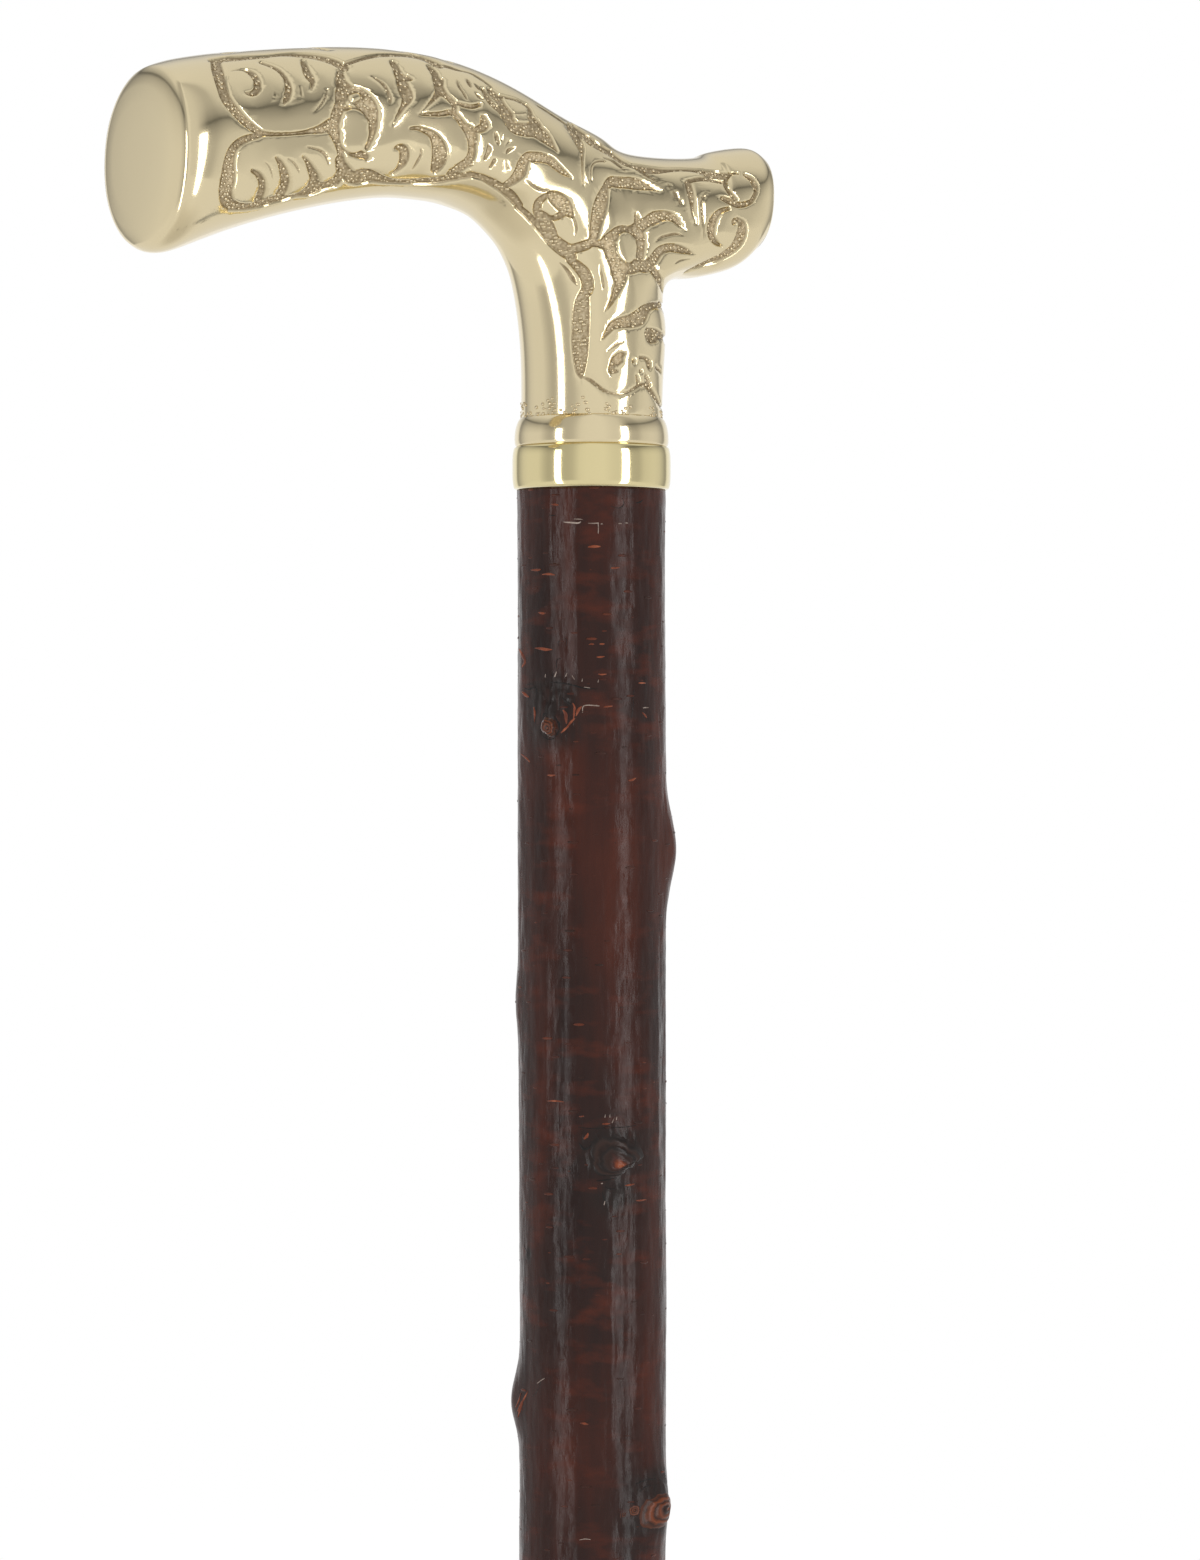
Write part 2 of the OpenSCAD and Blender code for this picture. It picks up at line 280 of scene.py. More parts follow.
# %% Handle stations, as shares of the handle's sizes
# under run, under height, crown run, crown height, grip blend, end blend, power
CROOK_SHARES = np.array(
    [
        [0, 0.04, 0, 0.04, 0, 0, 2],
        [0, 0.19, -0.003, 0.18, 0, 0, 2],
        [0.006, 0.29, -0.006, 0.27, 0, 0, 2],
        [0.018, 0.375, -0.01, 0.36, 0.15, 0, 2],
        [0.036, 0.448, -0.012, 0.45, 0.4, 0, 2],
        [0.056, 0.49, -0.008, 0.547, 0.75, 0, 2],
        [0.079, 0.526, 0.004, 0.64, 1.1, 0, 2.05],
        [0.11, 0.559, 0.027, 0.71, 1.58, 0, 2.1],
        [0.147, 0.587, 0.059, 0.777, 1.88, 0, 2.1],
        [0.192, 0.606, 0.118, 0.812, 1.93, 0, 2.15],
        [0.243, 0.618, 0.197, 0.858, 1.75, 0, 2.2],
        [0.293, 0.622, 0.277, 0.912, 1.45, 0, 2.2],
        [0.349, 0.623, 0.363, 0.96, 1.15, 0, 2.2],
        [0.407, 0.619, 0.454, 0.99, 1, 0, 2.2],
        [0.485, 0.605, 0.556, 1, 1, 0, 2.2],
        [0.577, 0.583, 0.658, 0.993, 1, 0.04, 2.25],
        [0.677, 0.553, 0.755, 0.977, 1, 0.17, 2.25],
        [0.776, 0.518, 0.841, 0.96, 1, 0.38, 2.25],
        [0.861, 0.482, 0.911, 0.942, 1, 0.76, 2.2],
        [0.922, 0.455, 0.95, 0.929, 1, 1.02, 2.18],
        [0.966, 0.441, 0.975, 0.918, 1, 1.01, 2.16],
        [0.991, 0.451, 0.989, 0.909, 1, 0.91, 2.15],
    ]
)
# run, middle height, half height, half width, lean
NOSE_SHARES = np.array(
    [
        [0.24, 0.61, 0.93, 0.98, 0],
        [0.4, 0.577, 1.17, 0.965, 0],
        [0.475, 0.599, 1.04, 0.955, 0],
        [0.56, 0.615, 0.955, 0.948, 0],
        [0.64, 0.624, 0.955, 0.937, 0.02],
        [0.75, 0.636, 0.975, 0.92, 0.03],
        [0.87, 0.65, 0.975, 0.888, 0.05],
        [0.965, 0.665, 0.91, 0.85, 0.05],
        [1.03, 0.673, 0.79, 0.76, 0.05],
    ]
)
RING_SIDES = 16
CROOK_STATIONS = [0, 1.2, 2.6, 3.8, 4.9, 5.9, 6.9, 8, 9, 10]
CROOK_STATIONS += [11, 12.1, 13.3, 14.6, 15.9, 17.2, 18.5, 19.6, 20.4, 21]
NOSE_STATIONS = [3.5, 4.9, 6.2, 7.2, 8]
# the window for the nose: its first and last ring, its first and last side, its corners' angle on the nose
WINDOW_ROWS = (3, 7)
WINDOW_SIDES = (1, 7)
WINDOW_CORNER = 38
print("crook stations", len(CROOK_SHARES), "nose stations", len(NOSE_SHARES))


def ring(under, crown, half_w, power, turns):
    """One superellipse ring between its under and crown points."""
    mid, half = (under + crown) / 2, (crown - under) / 2
    points = []
    for t in turns:
        up = math.copysign(abs(math.sin(t)) ** (2 / power), math.sin(t))
        out = math.copysign(abs(math.cos(t)) ** (2 / power), math.cos(t))
        points.append([mid[0] + half[0] * up, half_w * out, mid[1] + half[1] * up])
    return points


def crook_ring(station):
    """Ring of the neck, bend and grip; X from the shaft axis, Z from the seat."""
    row = catmull(CROOK_SHARES, station)
    neck = NECK_D / 2
    under = np.array([-neck - row[0] * (GRIP_REACH - neck), row[1] * HANDLE_H])
    crown = np.array([neck - row[2] * (GRIP_REACH + neck), row[3] * HANDLE_H])
    hand = neck + row[4] * (GRIP_W / 2 - neck)
    half_w = hand + row[5] * (GRIP_END_W / 2 - hand)
    turns = [2 * math.pi * k / RING_SIDES for k in range(RING_SIDES)]
    return ring(under, crown, half_w, row[6], turns)


def nose_ring(station, turns):
    """Ring of the nose."""
    row = catmull(NOSE_SHARES, station)
    mid = np.array([row[0] * NOSE_REACH, row[1] * HANDLE_H])
    half_h = row[2] * NOSE_H / 2
    half = np.array([row[4] * half_h, half_h])
    return ring(mid - half, mid + half, row[3] * NOSE_W / 2, NOSE_POWER, turns)


# %% Handle cage


def handle_cage():
    """Points and quads of the crook with the nose bridged into its window."""
    points, faces, at = [], [], {}
    for i, station in enumerate(CROOK_STATIONS):
        for j, point in enumerate(crook_ring(station)):
            at[i, j] = len(points)
            points.append(point)
    (r0, r1), (c0, c1) = WINDOW_ROWS, WINDOW_SIDES
    for i in range(len(CROOK_STATIONS) - 1):
        for j in range(RING_SIDES):
            if not (r0 <= i < r1 and c0 <= j < c1):
                k = (j + 1) % RING_SIDES
                faces.append([at[i, j], at[i, k], at[i + 1, k], at[i + 1, j]])
    loop = [(r0, c) for c in range(c0, c1)] + [(r, c1) for r in range(r0, r1)]
    loop += [(r1, c) for c in range(c1, c0, -1)] + [(r, c0) for r in range(r1, r0, -1)]
    last = [at[key] for key in loop]
    sides = len(last)
    # the window's corners meet the nose rings at a set angle, and its edges share the arcs between
    corners = [-WINDOW_CORNER, WINDOW_CORNER - 180, -WINDOW_CORNER - 180, WINDOW_CORNER - 360]
    turns = []
    for corner, after, parts in zip(corners, corners[1:] + [-WINDOW_CORNER - 360], (c1 - c0, r1 - r0) * 2):
        turns += [math.radians(corner + (after - corner) * k / parts) for k in range(parts)]
    for station in NOSE_STATIONS:
        first = len(points)
        points += nose_ring(station, turns)
        for k in range(sides):
            n = (k + 1) % sides
            faces.append([last[k], last[n], first + n, first + k])
        last = list(range(first, first + sides))
    used = sorted({v for face in faces for v in face})
    renumber = {v: i for i, v in enumerate(used)}
    faces = [[renumber[v] for v in face] for face in faces]
    return np.array(points)[used], faces


def cage_through(targets, faces, rounds=80):
    """Moves the cage until its subdivided limit surface meets the target points."""
    count = len(targets)
    beside, across, seen = [set() for _ in targets], [[] for _ in targets], {}
    for face in faces:
        for k in range(4):
            a, b, c, d = (face[(k + step) % 4] for step in range(4))
            beside[a] |= {b, d}
            across[a].append(c)
            edge = (min(a, b), max(a, b))
            seen[edge] = seen.get(edge, 0) + 1
    rim = [set() for _ in targets]
    for (a, b), times in seen.items():
        if times == 1:
            rim[a].add(b)
            rim[b].add(a)
    # where a subdivided cage point ends up: shares of itself, its neighbours and the far corners
    limit = np.zeros((count, count))
    for v in range(count):
        if rim[v]:
            limit[v, v] = 4 / 6
            limit[v, list(rim[v])] = 1 / 6
        else:
            k = len(beside[v])
            whole = k * (k + 5)
            limit[v, v] = k * k / whole
            limit[v, list(beside[v])] = 4 / whole
            limit[v, across[v]] = 1 / whole
    cage = targets.copy()
    for _ in range(rounds):
        cage += targets - limit @ cage
    print("cage misses its stations by", round(float(np.abs(limit @ cage - targets).max()), 3), "mm")
    return cage


# %% Subdivide the cage
SUBDIVISIONS = 5
cage_targets, cage_faces = handle_cage()
cage_mesh = bpy.data.meshes.new("handle_cage")
cage_mesh.from_pydata(cage_through(cage_targets, cage_faces).tolist(), [], cage_faces)
skin = finished(cage_mesh, "SUBSURF", levels=SUBDIVISIONS, render_levels=SUBDIVISIONS)
skin_points = read(skin.vertices, "co", 3)
skin_normals = read(skin.vertices, "normal", 3)
skin_faces = read(skin.loops, "vertex_index", 1).astype(int).reshape(-1, 4)
crown_most = skin_points[:, 2].argmax()
if skin_normals[crown_most, 2] < 0:
    skin_faces, skin_normals = skin_faces[:, ::-1], -skin_normals
print("handle skin", len(skin_faces), "quads")

# %% [markdown]
# ## Handle: the carving
# Acanthus leaves, buds, flowers and scrolls stand flush with the skin, and the ground
# between them is sunk and matted. A bump map could imitate this, but its edges would not
# catch the light and it would be lost in the mesh. So the carving is drawn the way an
# engraver cuts it: as strokes of ground and thin veins. The points are pixels of the
# photograph, each with the stroke's width there, listed and sent through the
# camera onto the skin. The far side is the mirror image. Every skin point then sinks by
# its distance to the nearest stroke, which also gives each leaf its gently rounded top.
# Three leaves also stand on low swells, which turn their polish away from a strip light.

# %% Strokes of sunk ground, as (x, y, width) pixels of the photograph
GROUND_PX = {
    "first leaf, end": [(216, 60, 10), (218, 69, 13), (222, 84, 12), (227, 98, 11), (236, 110, 10),
                        (246, 121, 9), (257, 130, 8), (264, 134, 6)],
    "first leaf, crown": [(214, 60, 8), (228, 58, 8), (245, 57, 6), (262, 56, 5), (280, 54, 5), (298, 54, 6),
                          (316, 56, 6), (332, 60, 7), (344, 66, 8)],
    "great leaf, crown": [(344, 64, 5), (358, 59, 5), (374, 55, 6), (392, 54, 6), (410, 55, 6), (425, 58, 7),
                          (436, 63, 8)],
    "first leaf, foot": [(258, 132, 7), (270, 134, 5), (285, 134, 4), (300, 133, 4), (312, 131, 6),
                         (322, 129, 10), (333, 124, 14)],
    "first scroll": [(241, 69, 1.2), (248, 70.5, 4), (254, 74, 7), (258, 81, 8),
                     (258, 89, 8.5), (253, 93, 6.5), (247, 92.5, 3)],
    "first leaf, fold": [(262, 62, 3), (273, 66, 3.5), (281, 71, 4.5), (287, 79, 5.5), (289.5, 88, 8),
                         (288, 97, 8), (285, 103, 3)],
    "first leaf, notch": [(303, 60, 5), (306, 67, 8), (309, 74, 9), (313, 81, 6), (312, 90, 2)],
    "second leaf, end": [(262, 135, 6), (250, 138, 8), (240, 143, 9), (233, 152, 10), (230, 165, 12),
                         (229, 178, 15), (227, 192, 15), (229, 203, 14), (238, 208, 10)],
    "second leaf, foot": [(232, 207, 11), (245, 208, 9), (258, 206, 9), (270, 202, 10), (282, 200, 7),
                          (293, 197, 4), (304, 194, 8), (314, 190, 13), (325, 187, 9), (336, 183, 11)],
    "second leaf, comma 1": [(253, 171, 4), (258, 174, 6), (262.5, 181, 7.5), (263, 190, 8), (260, 199, 9)],
    "second leaf, comma 2": [(277, 158, 3), (281, 163, 6), (284.5, 172, 9), (286, 181, 10), (284, 190, 10),
                             (279, 198, 9)],
    "second leaf, comma 3": [(304, 157, 3), (308, 162, 5), (312, 170, 8), (315, 178, 10), (314, 187, 14)],
    "second leaf, right": [(334, 128, 14), (339, 142, 9), (342, 156, 7), (343, 168, 9), (339, 180, 11)],
    "great curl": [(341, 72, 8), (343, 84, 13), (350, 92, 16), (360, 97, 19), (369, 106, 18),
                   (373.5, 117, 12), (374, 128, 9), (372, 138, 6.5), (368, 148, 5)],
    "great curl, left": [(342, 92, 13), (341, 104, 12), (337, 116, 12)],
    "great curl, under": [(344, 107, 7), (354, 109.5, 7), (364, 111, 9)],
    "oval bud, left": [(339, 118, 7), (337.5, 130, 4.5), (338, 142, 5), (343, 150, 7)],
    "oval bud, under": [(347, 149, 7), (353, 153, 8), (361, 155, 9), (367, 158, 8)],
    "great leaf, foot": [(340, 160, 9), (344, 170, 14), (352, 178, 14), (362, 178, 18), (372, 178, 14),
                         (385, 181.5, 9), (400, 183, 6), (420, 182.5, 7), (440, 181, 8), (456, 178, 8),
                         (470, 176, 7)],
    "great leaf, hook": [(395, 149, 2), (399, 147.5, 6), (404, 149.5, 10), (405.5, 156, 11), (404, 163, 9),
                         (399, 169.5, 5), (393, 174.5, 2)],
    "great leaf, curl": [(411, 128.5, 3), (418, 128, 4.5), (425, 130.5, 6), (432, 134, 8), (437, 141, 12),
                         (440, 150, 16), (440, 160, 16), (437, 169, 11)],
    "great leaf, notch": [(394, 62, 8), (398, 70, 9), (402, 79, 11), (405.5, 89, 13), (408, 97, 12),
                          (404, 106, 6.5), (399, 115, 4), (393, 125, 1.5)],
    "great leaf, spur": [(404, 76, 5), (409, 77.5, 6), (413, 78, 2)],
    "arrow leaf, upper": [(421, 113, 1.5), (429, 105, 3), (436, 97, 6), (440, 89, 10), (438, 80, 9),
                          (435, 72, 8), (430, 66, 5)],
    "arrow leaf, lower": [(421, 114, 3), (432, 114, 4.5), (443, 113.5, 5.5), (452, 112, 6.5), (459, 118, 6.5),
                          (465, 126, 7), (470.5, 137, 7), (472.5, 150, 8), (469, 161, 9), (461, 168, 10),
                          (452, 174, 8)],
    "arrow leaf, right": [(441, 91, 6), (449, 97, 6), (455, 104, 6), (455, 112, 6)],
    "flower, left": [(462, 124, 5), (470, 129, 9), (474, 136, 9), (473, 147, 6.5), (471, 156, 5),
                     (470, 164, 8)],
    "flower, upper": [(484, 118, 6), (485, 126, 10), (477, 130, 7)],
    "flower, under": [(470, 175, 7), (482, 178, 7), (492, 183, 9), (502, 189, 10), (511, 196, 11),
                      (519, 205, 8)],
    "flower, right": [(506, 186, 7), (513, 181, 9), (520, 173, 12), (523, 164, 11), (528, 157, 10),
                      (534, 157, 11), (541, 157.5, 11), (549, 160, 9.5), (556, 166, 8), (563, 172, 6),
                      (570.5, 177, 1.5)],
    "small flower, left": [(443, 79, 5), (443, 87, 5), (448, 95, 4), (454, 101, 3)],
    "small flower, under": [(459, 103, 4), (466, 105, 5), (474, 106, 5), (481, 104, 4)],
    "small flower, right": [(484, 89, 4), (488, 96, 6), (493, 103, 6), (499, 109, 5)],
    "stem bud, left": [(492, 91, 6), (499, 98, 8), (504, 106, 8), (510, 114, 9)],
    "stem bud, upper": [(499, 95, 4), (508, 97, 4), (517, 99.5, 4), (526, 104, 4)],
    "stem, upper": [(496, 106, 4), (503, 112, 7), (509, 119, 10), (516, 127, 13), (526, 129, 15),
                    (536, 129.5, 16), (545, 135.5, 13), (552, 143.5, 7), (557.5, 151, 2)],
    "stem bud, right": [(527, 104, 3), (531, 110, 5), (533, 118, 8), (538, 124, 9)],
    "crown blade, foot": [(571, 121, 3), (579, 130, 7), (589, 138.5, 9), (600, 146, 9), (611, 153, 8),
                          (621, 160, 6), (631, 165, 4)],
    "second stem": [(570, 124, 6), (572, 129, 9), (577, 137, 9.5), (581, 145, 8), (583, 153, 4.5),
                    (583, 166, 2.5), (583, 184, 1.2)],
    "volute": [(549, 194, 7), (556, 198.5, 14), (563, 204, 16), (568.5, 210.5, 12), (573, 215.5, 5)],
    "volute, left": [(545, 196, 6), (539, 201, 8), (537, 208, 9), (539, 215, 11), (544, 222, 16),
                     (549, 230, 14), (554, 237, 9)],
    "volute, under": [(541, 214, 8), (549, 217.5, 7), (557, 217, 7), (565, 212, 8)],
    "volute bulb, under": [(555, 239, 9), (562, 246, 12), (571, 249.5, 11), (580, 246.5, 9),
                           (588, 243.5, 8), (597, 243, 8), (606, 245, 9)],
    "bend, foot": [(518, 207, 7), (527, 215, 8), (536, 224, 9), (545, 233, 12), (553, 242, 13),
                   (563, 251, 12), (572, 257, 10)],
    "bend, column": [(606, 190, 9), (603, 200, 14), (600, 210, 15), (597.5, 220, 13), (595.5, 230, 11),
                     (594, 238, 9), (588, 246, 7), (578, 250, 6)],
    "bend, top": [(607, 186, 8), (612, 181.5, 11), (619, 182, 12), (627, 182.5, 12)],
    "nose, top valley": [(626, 182.5, 12), (634, 183, 13), (642, 184.5, 11), (650, 187, 6),
                         (661, 191, 1.5)],
    "nose, scallops": [(606, 240, 9), (614, 236, 13), (622, 232, 14), (632, 232, 14), (641, 227, 14),
                       (648, 222, 12), (655, 218, 14), (664, 215.5, 11), (672, 216.5, 9.5), (678, 221.5, 6),
                       (684, 230, 1.5)],
    "nose, scallop spur": [(638.5, 222, 7), (636.5, 212, 2)],
    "nose bead, left": [(604, 243, 9), (611, 247, 15), (614, 256, 14), (620, 264, 15), (630, 267, 15),
                        (640, 265, 14), (648, 266, 13), (655, 259, 11), (661, 251, 10), (670, 247.5, 9),
                        (680, 249, 9), (688, 251.5, 6), (694, 254.5, 2)],
    "nose bead, right": [(641, 236, 10), (642, 246, 9), (641, 256, 9)],
    "nose, upper edge": [(636, 166, 6), (646, 168.5, 9), (657, 169.5, 8), (668, 169.5, 5), (682, 169, 4.5),
                         (696, 170, 5), (707, 172.5, 8), (717, 174, 9), (727, 175, 7), (738, 173, 3)],
    "nose, second leaf": [(687, 182, 5), (695, 179, 5.5), (705, 178, 6), (716, 180, 5), (725, 182.5, 4)],
    "nose, valley": [(689, 182, 7), (690.5, 191, 7.5), (692.5, 200, 6), (693.5, 210, 4), (695, 219, 3),
                     (696.5, 225, 1.2)],
    "nose bud, left": [(728, 176, 6), (726, 184, 4.5), (730, 192, 4.5), (736, 199, 4.5)],
    "nose bud, right": [(746, 175, 4), (752, 179, 5.5), (756, 186, 6), (756.5, 193, 5), (753, 200, 5)],
    "nose bud, under": [(723, 198, 5), (730, 201, 6.5), (738, 204.5, 6.5), (746, 204, 6), (753, 201, 5)],
    "nose hook, left": [(729, 208.5, 4.5), (722, 211, 6), (716, 217, 8), (712.5, 226, 8.5), (712.5, 236, 7.5),
                        (717, 243.5, 5), (722, 246.5, 2)],
    "nose hook, dot": [(734.5, 222, 6), (735.5, 221, 6)],
    "nose hook, right": [(738, 219, 4), (742.5, 224, 7.5), (742.5, 233, 10.5), (739, 243, 10.5),
                         (732, 251, 9), (722, 257.5, 7.5), (711, 262, 7), (700, 266.5, 6.5), (688, 271.5, 4)],
    "neck, by the lobe": [(615, 262, 11), (620, 272, 16), (620.5, 282, 11), (617, 291, 8), (612.5, 301, 5),
                          (606, 311, 1.5)],
    "neck, lobe corner": [(655, 270, 9), (660, 279, 8), (663, 290, 5)],
    "neck, strip top": [(570, 260, 8), (578, 266.5, 11), (585, 274, 13), (588, 283, 13), (587, 290, 12)],
    "neck, lower edge": [(582, 377, 2.5), (590, 380, 4.5), (597, 385, 4.5), (606, 391, 4), (616, 394, 3.2),
                         (627, 392.5, 3.2), (635, 388.5, 4), (642, 384.5, 4.5), (648, 386, 6),
                         (653, 392.5, 6.5), (658, 400, 6), (662.5, 408, 4)],
    "neck, groove 1": [(662, 305.5, 7), (655, 305, 8), (648, 309, 11), (641, 317, 17), (632, 321, 15),
                       (622, 322.5, 12), (613, 326, 9), (607, 333, 5), (602, 340, 1.5)],
    "neck, groove 2": [(663, 336, 9), (657, 334, 12), (649, 331, 8)],
    "neck, groove 2 foot": [(648, 333, 6), (651, 340, 7), (658, 340, 6)],
    "neck, scroll": [(610, 370, 4), (613, 366, 7), (616, 360, 9), (621, 355.5, 8), (625, 353.5, 4)],
    "neck, scroll foot": [(612, 372, 5), (617, 371, 5)],
    "neck, scroll eye": [(622, 361, 5), (618, 365, 4)],
    "neck, dot 1": [(634, 361, 4.5), (635, 361, 4.5)],
    "neck, dot 2": [(641, 357.5, 4.5), (646, 358, 4.5), (649.5, 362.5, 7), (650.5, 366, 5)],
    "neck, dot 3": [(656.5, 367, 4), (661, 371, 4)],
    "neck, dot 4": [(641, 371, 4), (642, 371, 4)],
    "neck, fork left": [(637.5, 376, 3), (639, 382, 4)],
    "neck, fork right": [(647, 377, 4.5), (650, 385, 6)],
}
print("strokes of ground", len(GROUND_PX))

# %% Thin veins and raised islands, in the same pixels
VEINS_PX = {
    "second leaf 1": [(265, 162, 1.5), (269, 166, 2.2), (271.5, 172, 2.2), (273, 179, 1.5)],
    "second leaf 2": [(288, 158.5, 2), (294, 163, 3), (298, 169, 3), (299.5, 173, 1.5)],
    "second leaf 3": [(308, 147, 2.5), (316, 149, 3.2), (323, 152.5, 4), (327, 158, 4), (329, 166, 1.5)],
    "first leaf 1": [(275, 89, 1.5), (275.5, 95, 2), (274, 100, 1.2)],
    "first leaf 2": [(300, 86, 1.5), (301.5, 93, 2.5), (300, 101, 1.2)],
    "first leaf 3": [(327, 89, 2), (325.5, 97, 3), (321, 105, 3), (314, 112.5, 1.5)],
    "great leaf 1": [(371, 76, 1.5), (378, 80, 3), (384, 85, 4), (388, 91.5, 4), (390.5, 99, 4.5),
                     (390, 106, 1.5)],
    "great leaf 2": [(420.5, 149, 2), (421, 154, 3), (417.5, 162, 3), (413, 169, 1.5)],
    "flower, mark 1": [(487, 144, 1.5), (488.5, 149, 6), (487, 153, 5), (484.5, 158, 4)],
    "flower, mark 2": [(495.5, 133, 3), (496.5, 138, 5), (498, 143, 4)],
    "flower, mark 3": [(514, 147.5, 2), (509, 150, 4.5), (506.5, 153, 2.5)],
    "flower, mark 4": [(494, 160.5, 4.5), (490, 167, 3.5)],
    "flower, mark 5": [(502.5, 134, 1.5), (501, 140, 2)],
    "flower, mark 6": [(510, 140.5, 2.2), (505.5, 145.5, 1.5)],
    "flower, mark 7": [(503, 161, 1.5), (502.5, 170, 1.8)],
    "flower, mark 8": [(507, 161.5, 1.5), (508.5, 169, 2.2)],
    "nose leaf 1": [(656, 242, 1.5), (661, 237.5, 3.5), (668, 235.5, 4), (676, 234, 4), (684, 236, 1.5)],
    "nose leaf 2": [(675, 264, 1.5), (681, 260.5, 2.5), (691, 259, 1.2)],
    "nose leaf 3": [(668, 184, 2), (675, 194, 3.5), (680, 202, 3.5), (684.5, 210, 1.2)],
    "nose leaf 4": [(708, 191, 1.5), (703.5, 196, 3), (702, 207, 4), (703, 220, 3), (704, 232, 2.5),
                    (703, 241, 1.2)],
    "bend": [(605, 161, 3), (597, 161.5, 3), (592, 166.5, 2.5), (591, 180, 1.5)],
    "bend crease": [(633, 167, 1.5), (640, 171, 3.5), (648, 176, 4), (655, 180, 3), (659, 182.5, 1.2)],
    "volute fold": [(526, 180, 1.5), (532, 185, 3), (540, 189.5, 3.5), (548, 190, 2)],
    "volute curl": [(571, 214, 2), (575, 221, 3.2), (576.5, 229, 3.2), (575, 236, 1.5)],
    "neck leaf tip": [(560, 263, 2), (567, 270, 4.5), (573, 279, 5.5), (576.5, 285, 2)],
    "neck leaf": [(600, 265, 1.5), (602, 275, 3), (603.5, 285, 3), (604, 289.5, 1.2)],
    "neck scroll": [(607, 351, 2), (613, 347, 3.5), (619, 343.5, 3.5), (624.5, 341.5, 1.5)],
    "small flower 1": [(457, 80, 2), (459, 86, 3), (463, 92, 2)],
    "small flower 2": [(462, 90, 2), (465, 95, 3), (467, 99, 2)],
    "small flower 3": [(467, 79, 2), (469, 83, 4), (471, 87, 2)],
    "small flower 4": [(476, 93, 2), (480, 97, 4), (484, 99, 2)],
    "small flower 5": [(475, 84, 1.5), (479, 88, 3), (483, 90, 1.5)],
    "crown blade": [(538, 106, 2), (548, 112, 3), (560, 120, 3), (570, 127, 2)],
    "crown fold": [(604, 158, 1.5), (613, 161, 3), (621, 167, 3), (628, 173, 1.5)],
    "stem bud seam": [(511, 112, 1.5), (519, 113.5, 2), (527, 113, 1.5)],
    "crown line": [(428, 60, 1.5), (437, 63.5, 3.5), (449, 67, 3.5), (458, 70, 2.5), (470, 73, 2),
                   (480, 78.5, 2.5), (492, 87, 1.5)],
    "neck strip": [(588, 286, 6), (584.5, 293, 12), (582, 303, 17), (581, 316, 19), (580.5, 328, 19),
                   (580, 340, 19), (580, 352, 17), (580, 362, 14), (580, 371, 10), (581, 378, 3)],
    "first scroll": [(231, 71, 1.2), (238, 69.5, 2), (245, 69.8, 2.2)],
    "pit 1": [(561.5, 219, 2.5), (562.5, 219, 2.5)],
    "pit 2": [(580.5, 253, 2.5), (581.5, 253, 2.5)],
}
ISLANDS_PX = {
    "curl knob": [(353, 98, 7), (358, 96, 7)],
    "oval bud": [(355, 125, 27), (355, 137, 27)],
    "field knob": [(354, 164, 9), (362, 164, 9)],
    "volute eye": [(546, 206, 8), (552, 211, 9)],
    "flower boss": [(498, 151, 13), (499, 151, 13)],
    "nose bead": [(628, 245, 19), (628, 249, 19)],
    "nose bud": [(739, 185, 19), (742, 188, 19)],
}
# low swells of the skin under a leaf: (x, y) pixel of the middle, reach and height in millimetres
SWELLS_PX = {
    "volute leaf": (545, 191, 9.5, 0.45),
    "flower": (484, 152, 5.4, 0.24),
    "great leaf": (440, 148, 6, 0.1),
}
print("veins", len(VEINS_PX), "islands", len(ISLANDS_PX), "swells", len(SWELLS_PX))

# %% Strokes that the photograph does not show, in millimetres
# crown: (X, Y, width) seen from above; neck back: (bearing from the near side, height, width)
CROWN_MM = {
    "spine 1": [(-69, -3, 1.2), (-65, -1, 1.3), (-60, 0, 1.2), (-54, 0, 0.8), (-48, 0, 1.2)],
    "spine 2": [(-46, 0, 0.9), (-40, 0, 1.3), (-34, 0, 0.8), (-28, 0, 1.3), (-22, 0, 0.8)],
    "notch 1": [(-52, -4.5, 1.0), (-53.5, -2, 1.2), (-56, 0, 1.2)],
    "notch 2": [(-36, -4.5, 1.2), (-38, -2, 1.3), (-40, 0, 1.2)],
    "notch 3": [(-29.5, -4.5, 1.0), (-30, -2, 1.2), (-31, 0, 1.2)],
}
BACK_MM = {
    "groove 1": [(45, 23, 1.3), (65, 22.6, 1.6), (90, 23.6, 1.6)],
    "groove 2": [(45, 17.8, 1.4), (68, 17.2, 1.6), (90, 18.3, 1.2)],
    "leaf 1": [(70, 8.5, 0.6), (78, 11.5, 1.3), (74, 14.5, 0.6)],
    "leaf 2": [(90, 9, 1.3), (90, 14, 0.7)],
    "lower edge": [(52, 6.6, 0.6), (70, 5.9, 0.9), (90, 6.6, 0.9)],
}
print("guessed strokes on the crown", len(CROWN_MM), "and on the neck's back", len(BACK_MM))

# %% Lay the strokes on the skin
# sampling steps: pixels of the photograph, millimetres on the crown, degrees round the neck
PX_STEP, CROWN_STEP, NECK_STEP = 1.5, 0.5, 4
# a stroke seen edge-on is widened at most to twice its width
FORESHORTENING = 0.5
# lines that are dropped on the crown or aimed at the neck start this far off, in millimetres
ABOVE = 100
# keeps a division by a length of nothing from failing
TINY = 1e-9
skin_tree = BVHTree.FromPolygons(skin_points.tolist(), skin_faces.tolist())
# the camera's place in the skin's own heights, which count from the seat
EYE = CAM_AT - np.array([0, 0, SEAT_Z])
print("camera above the seat", round(EYE[2], 1), "mm")


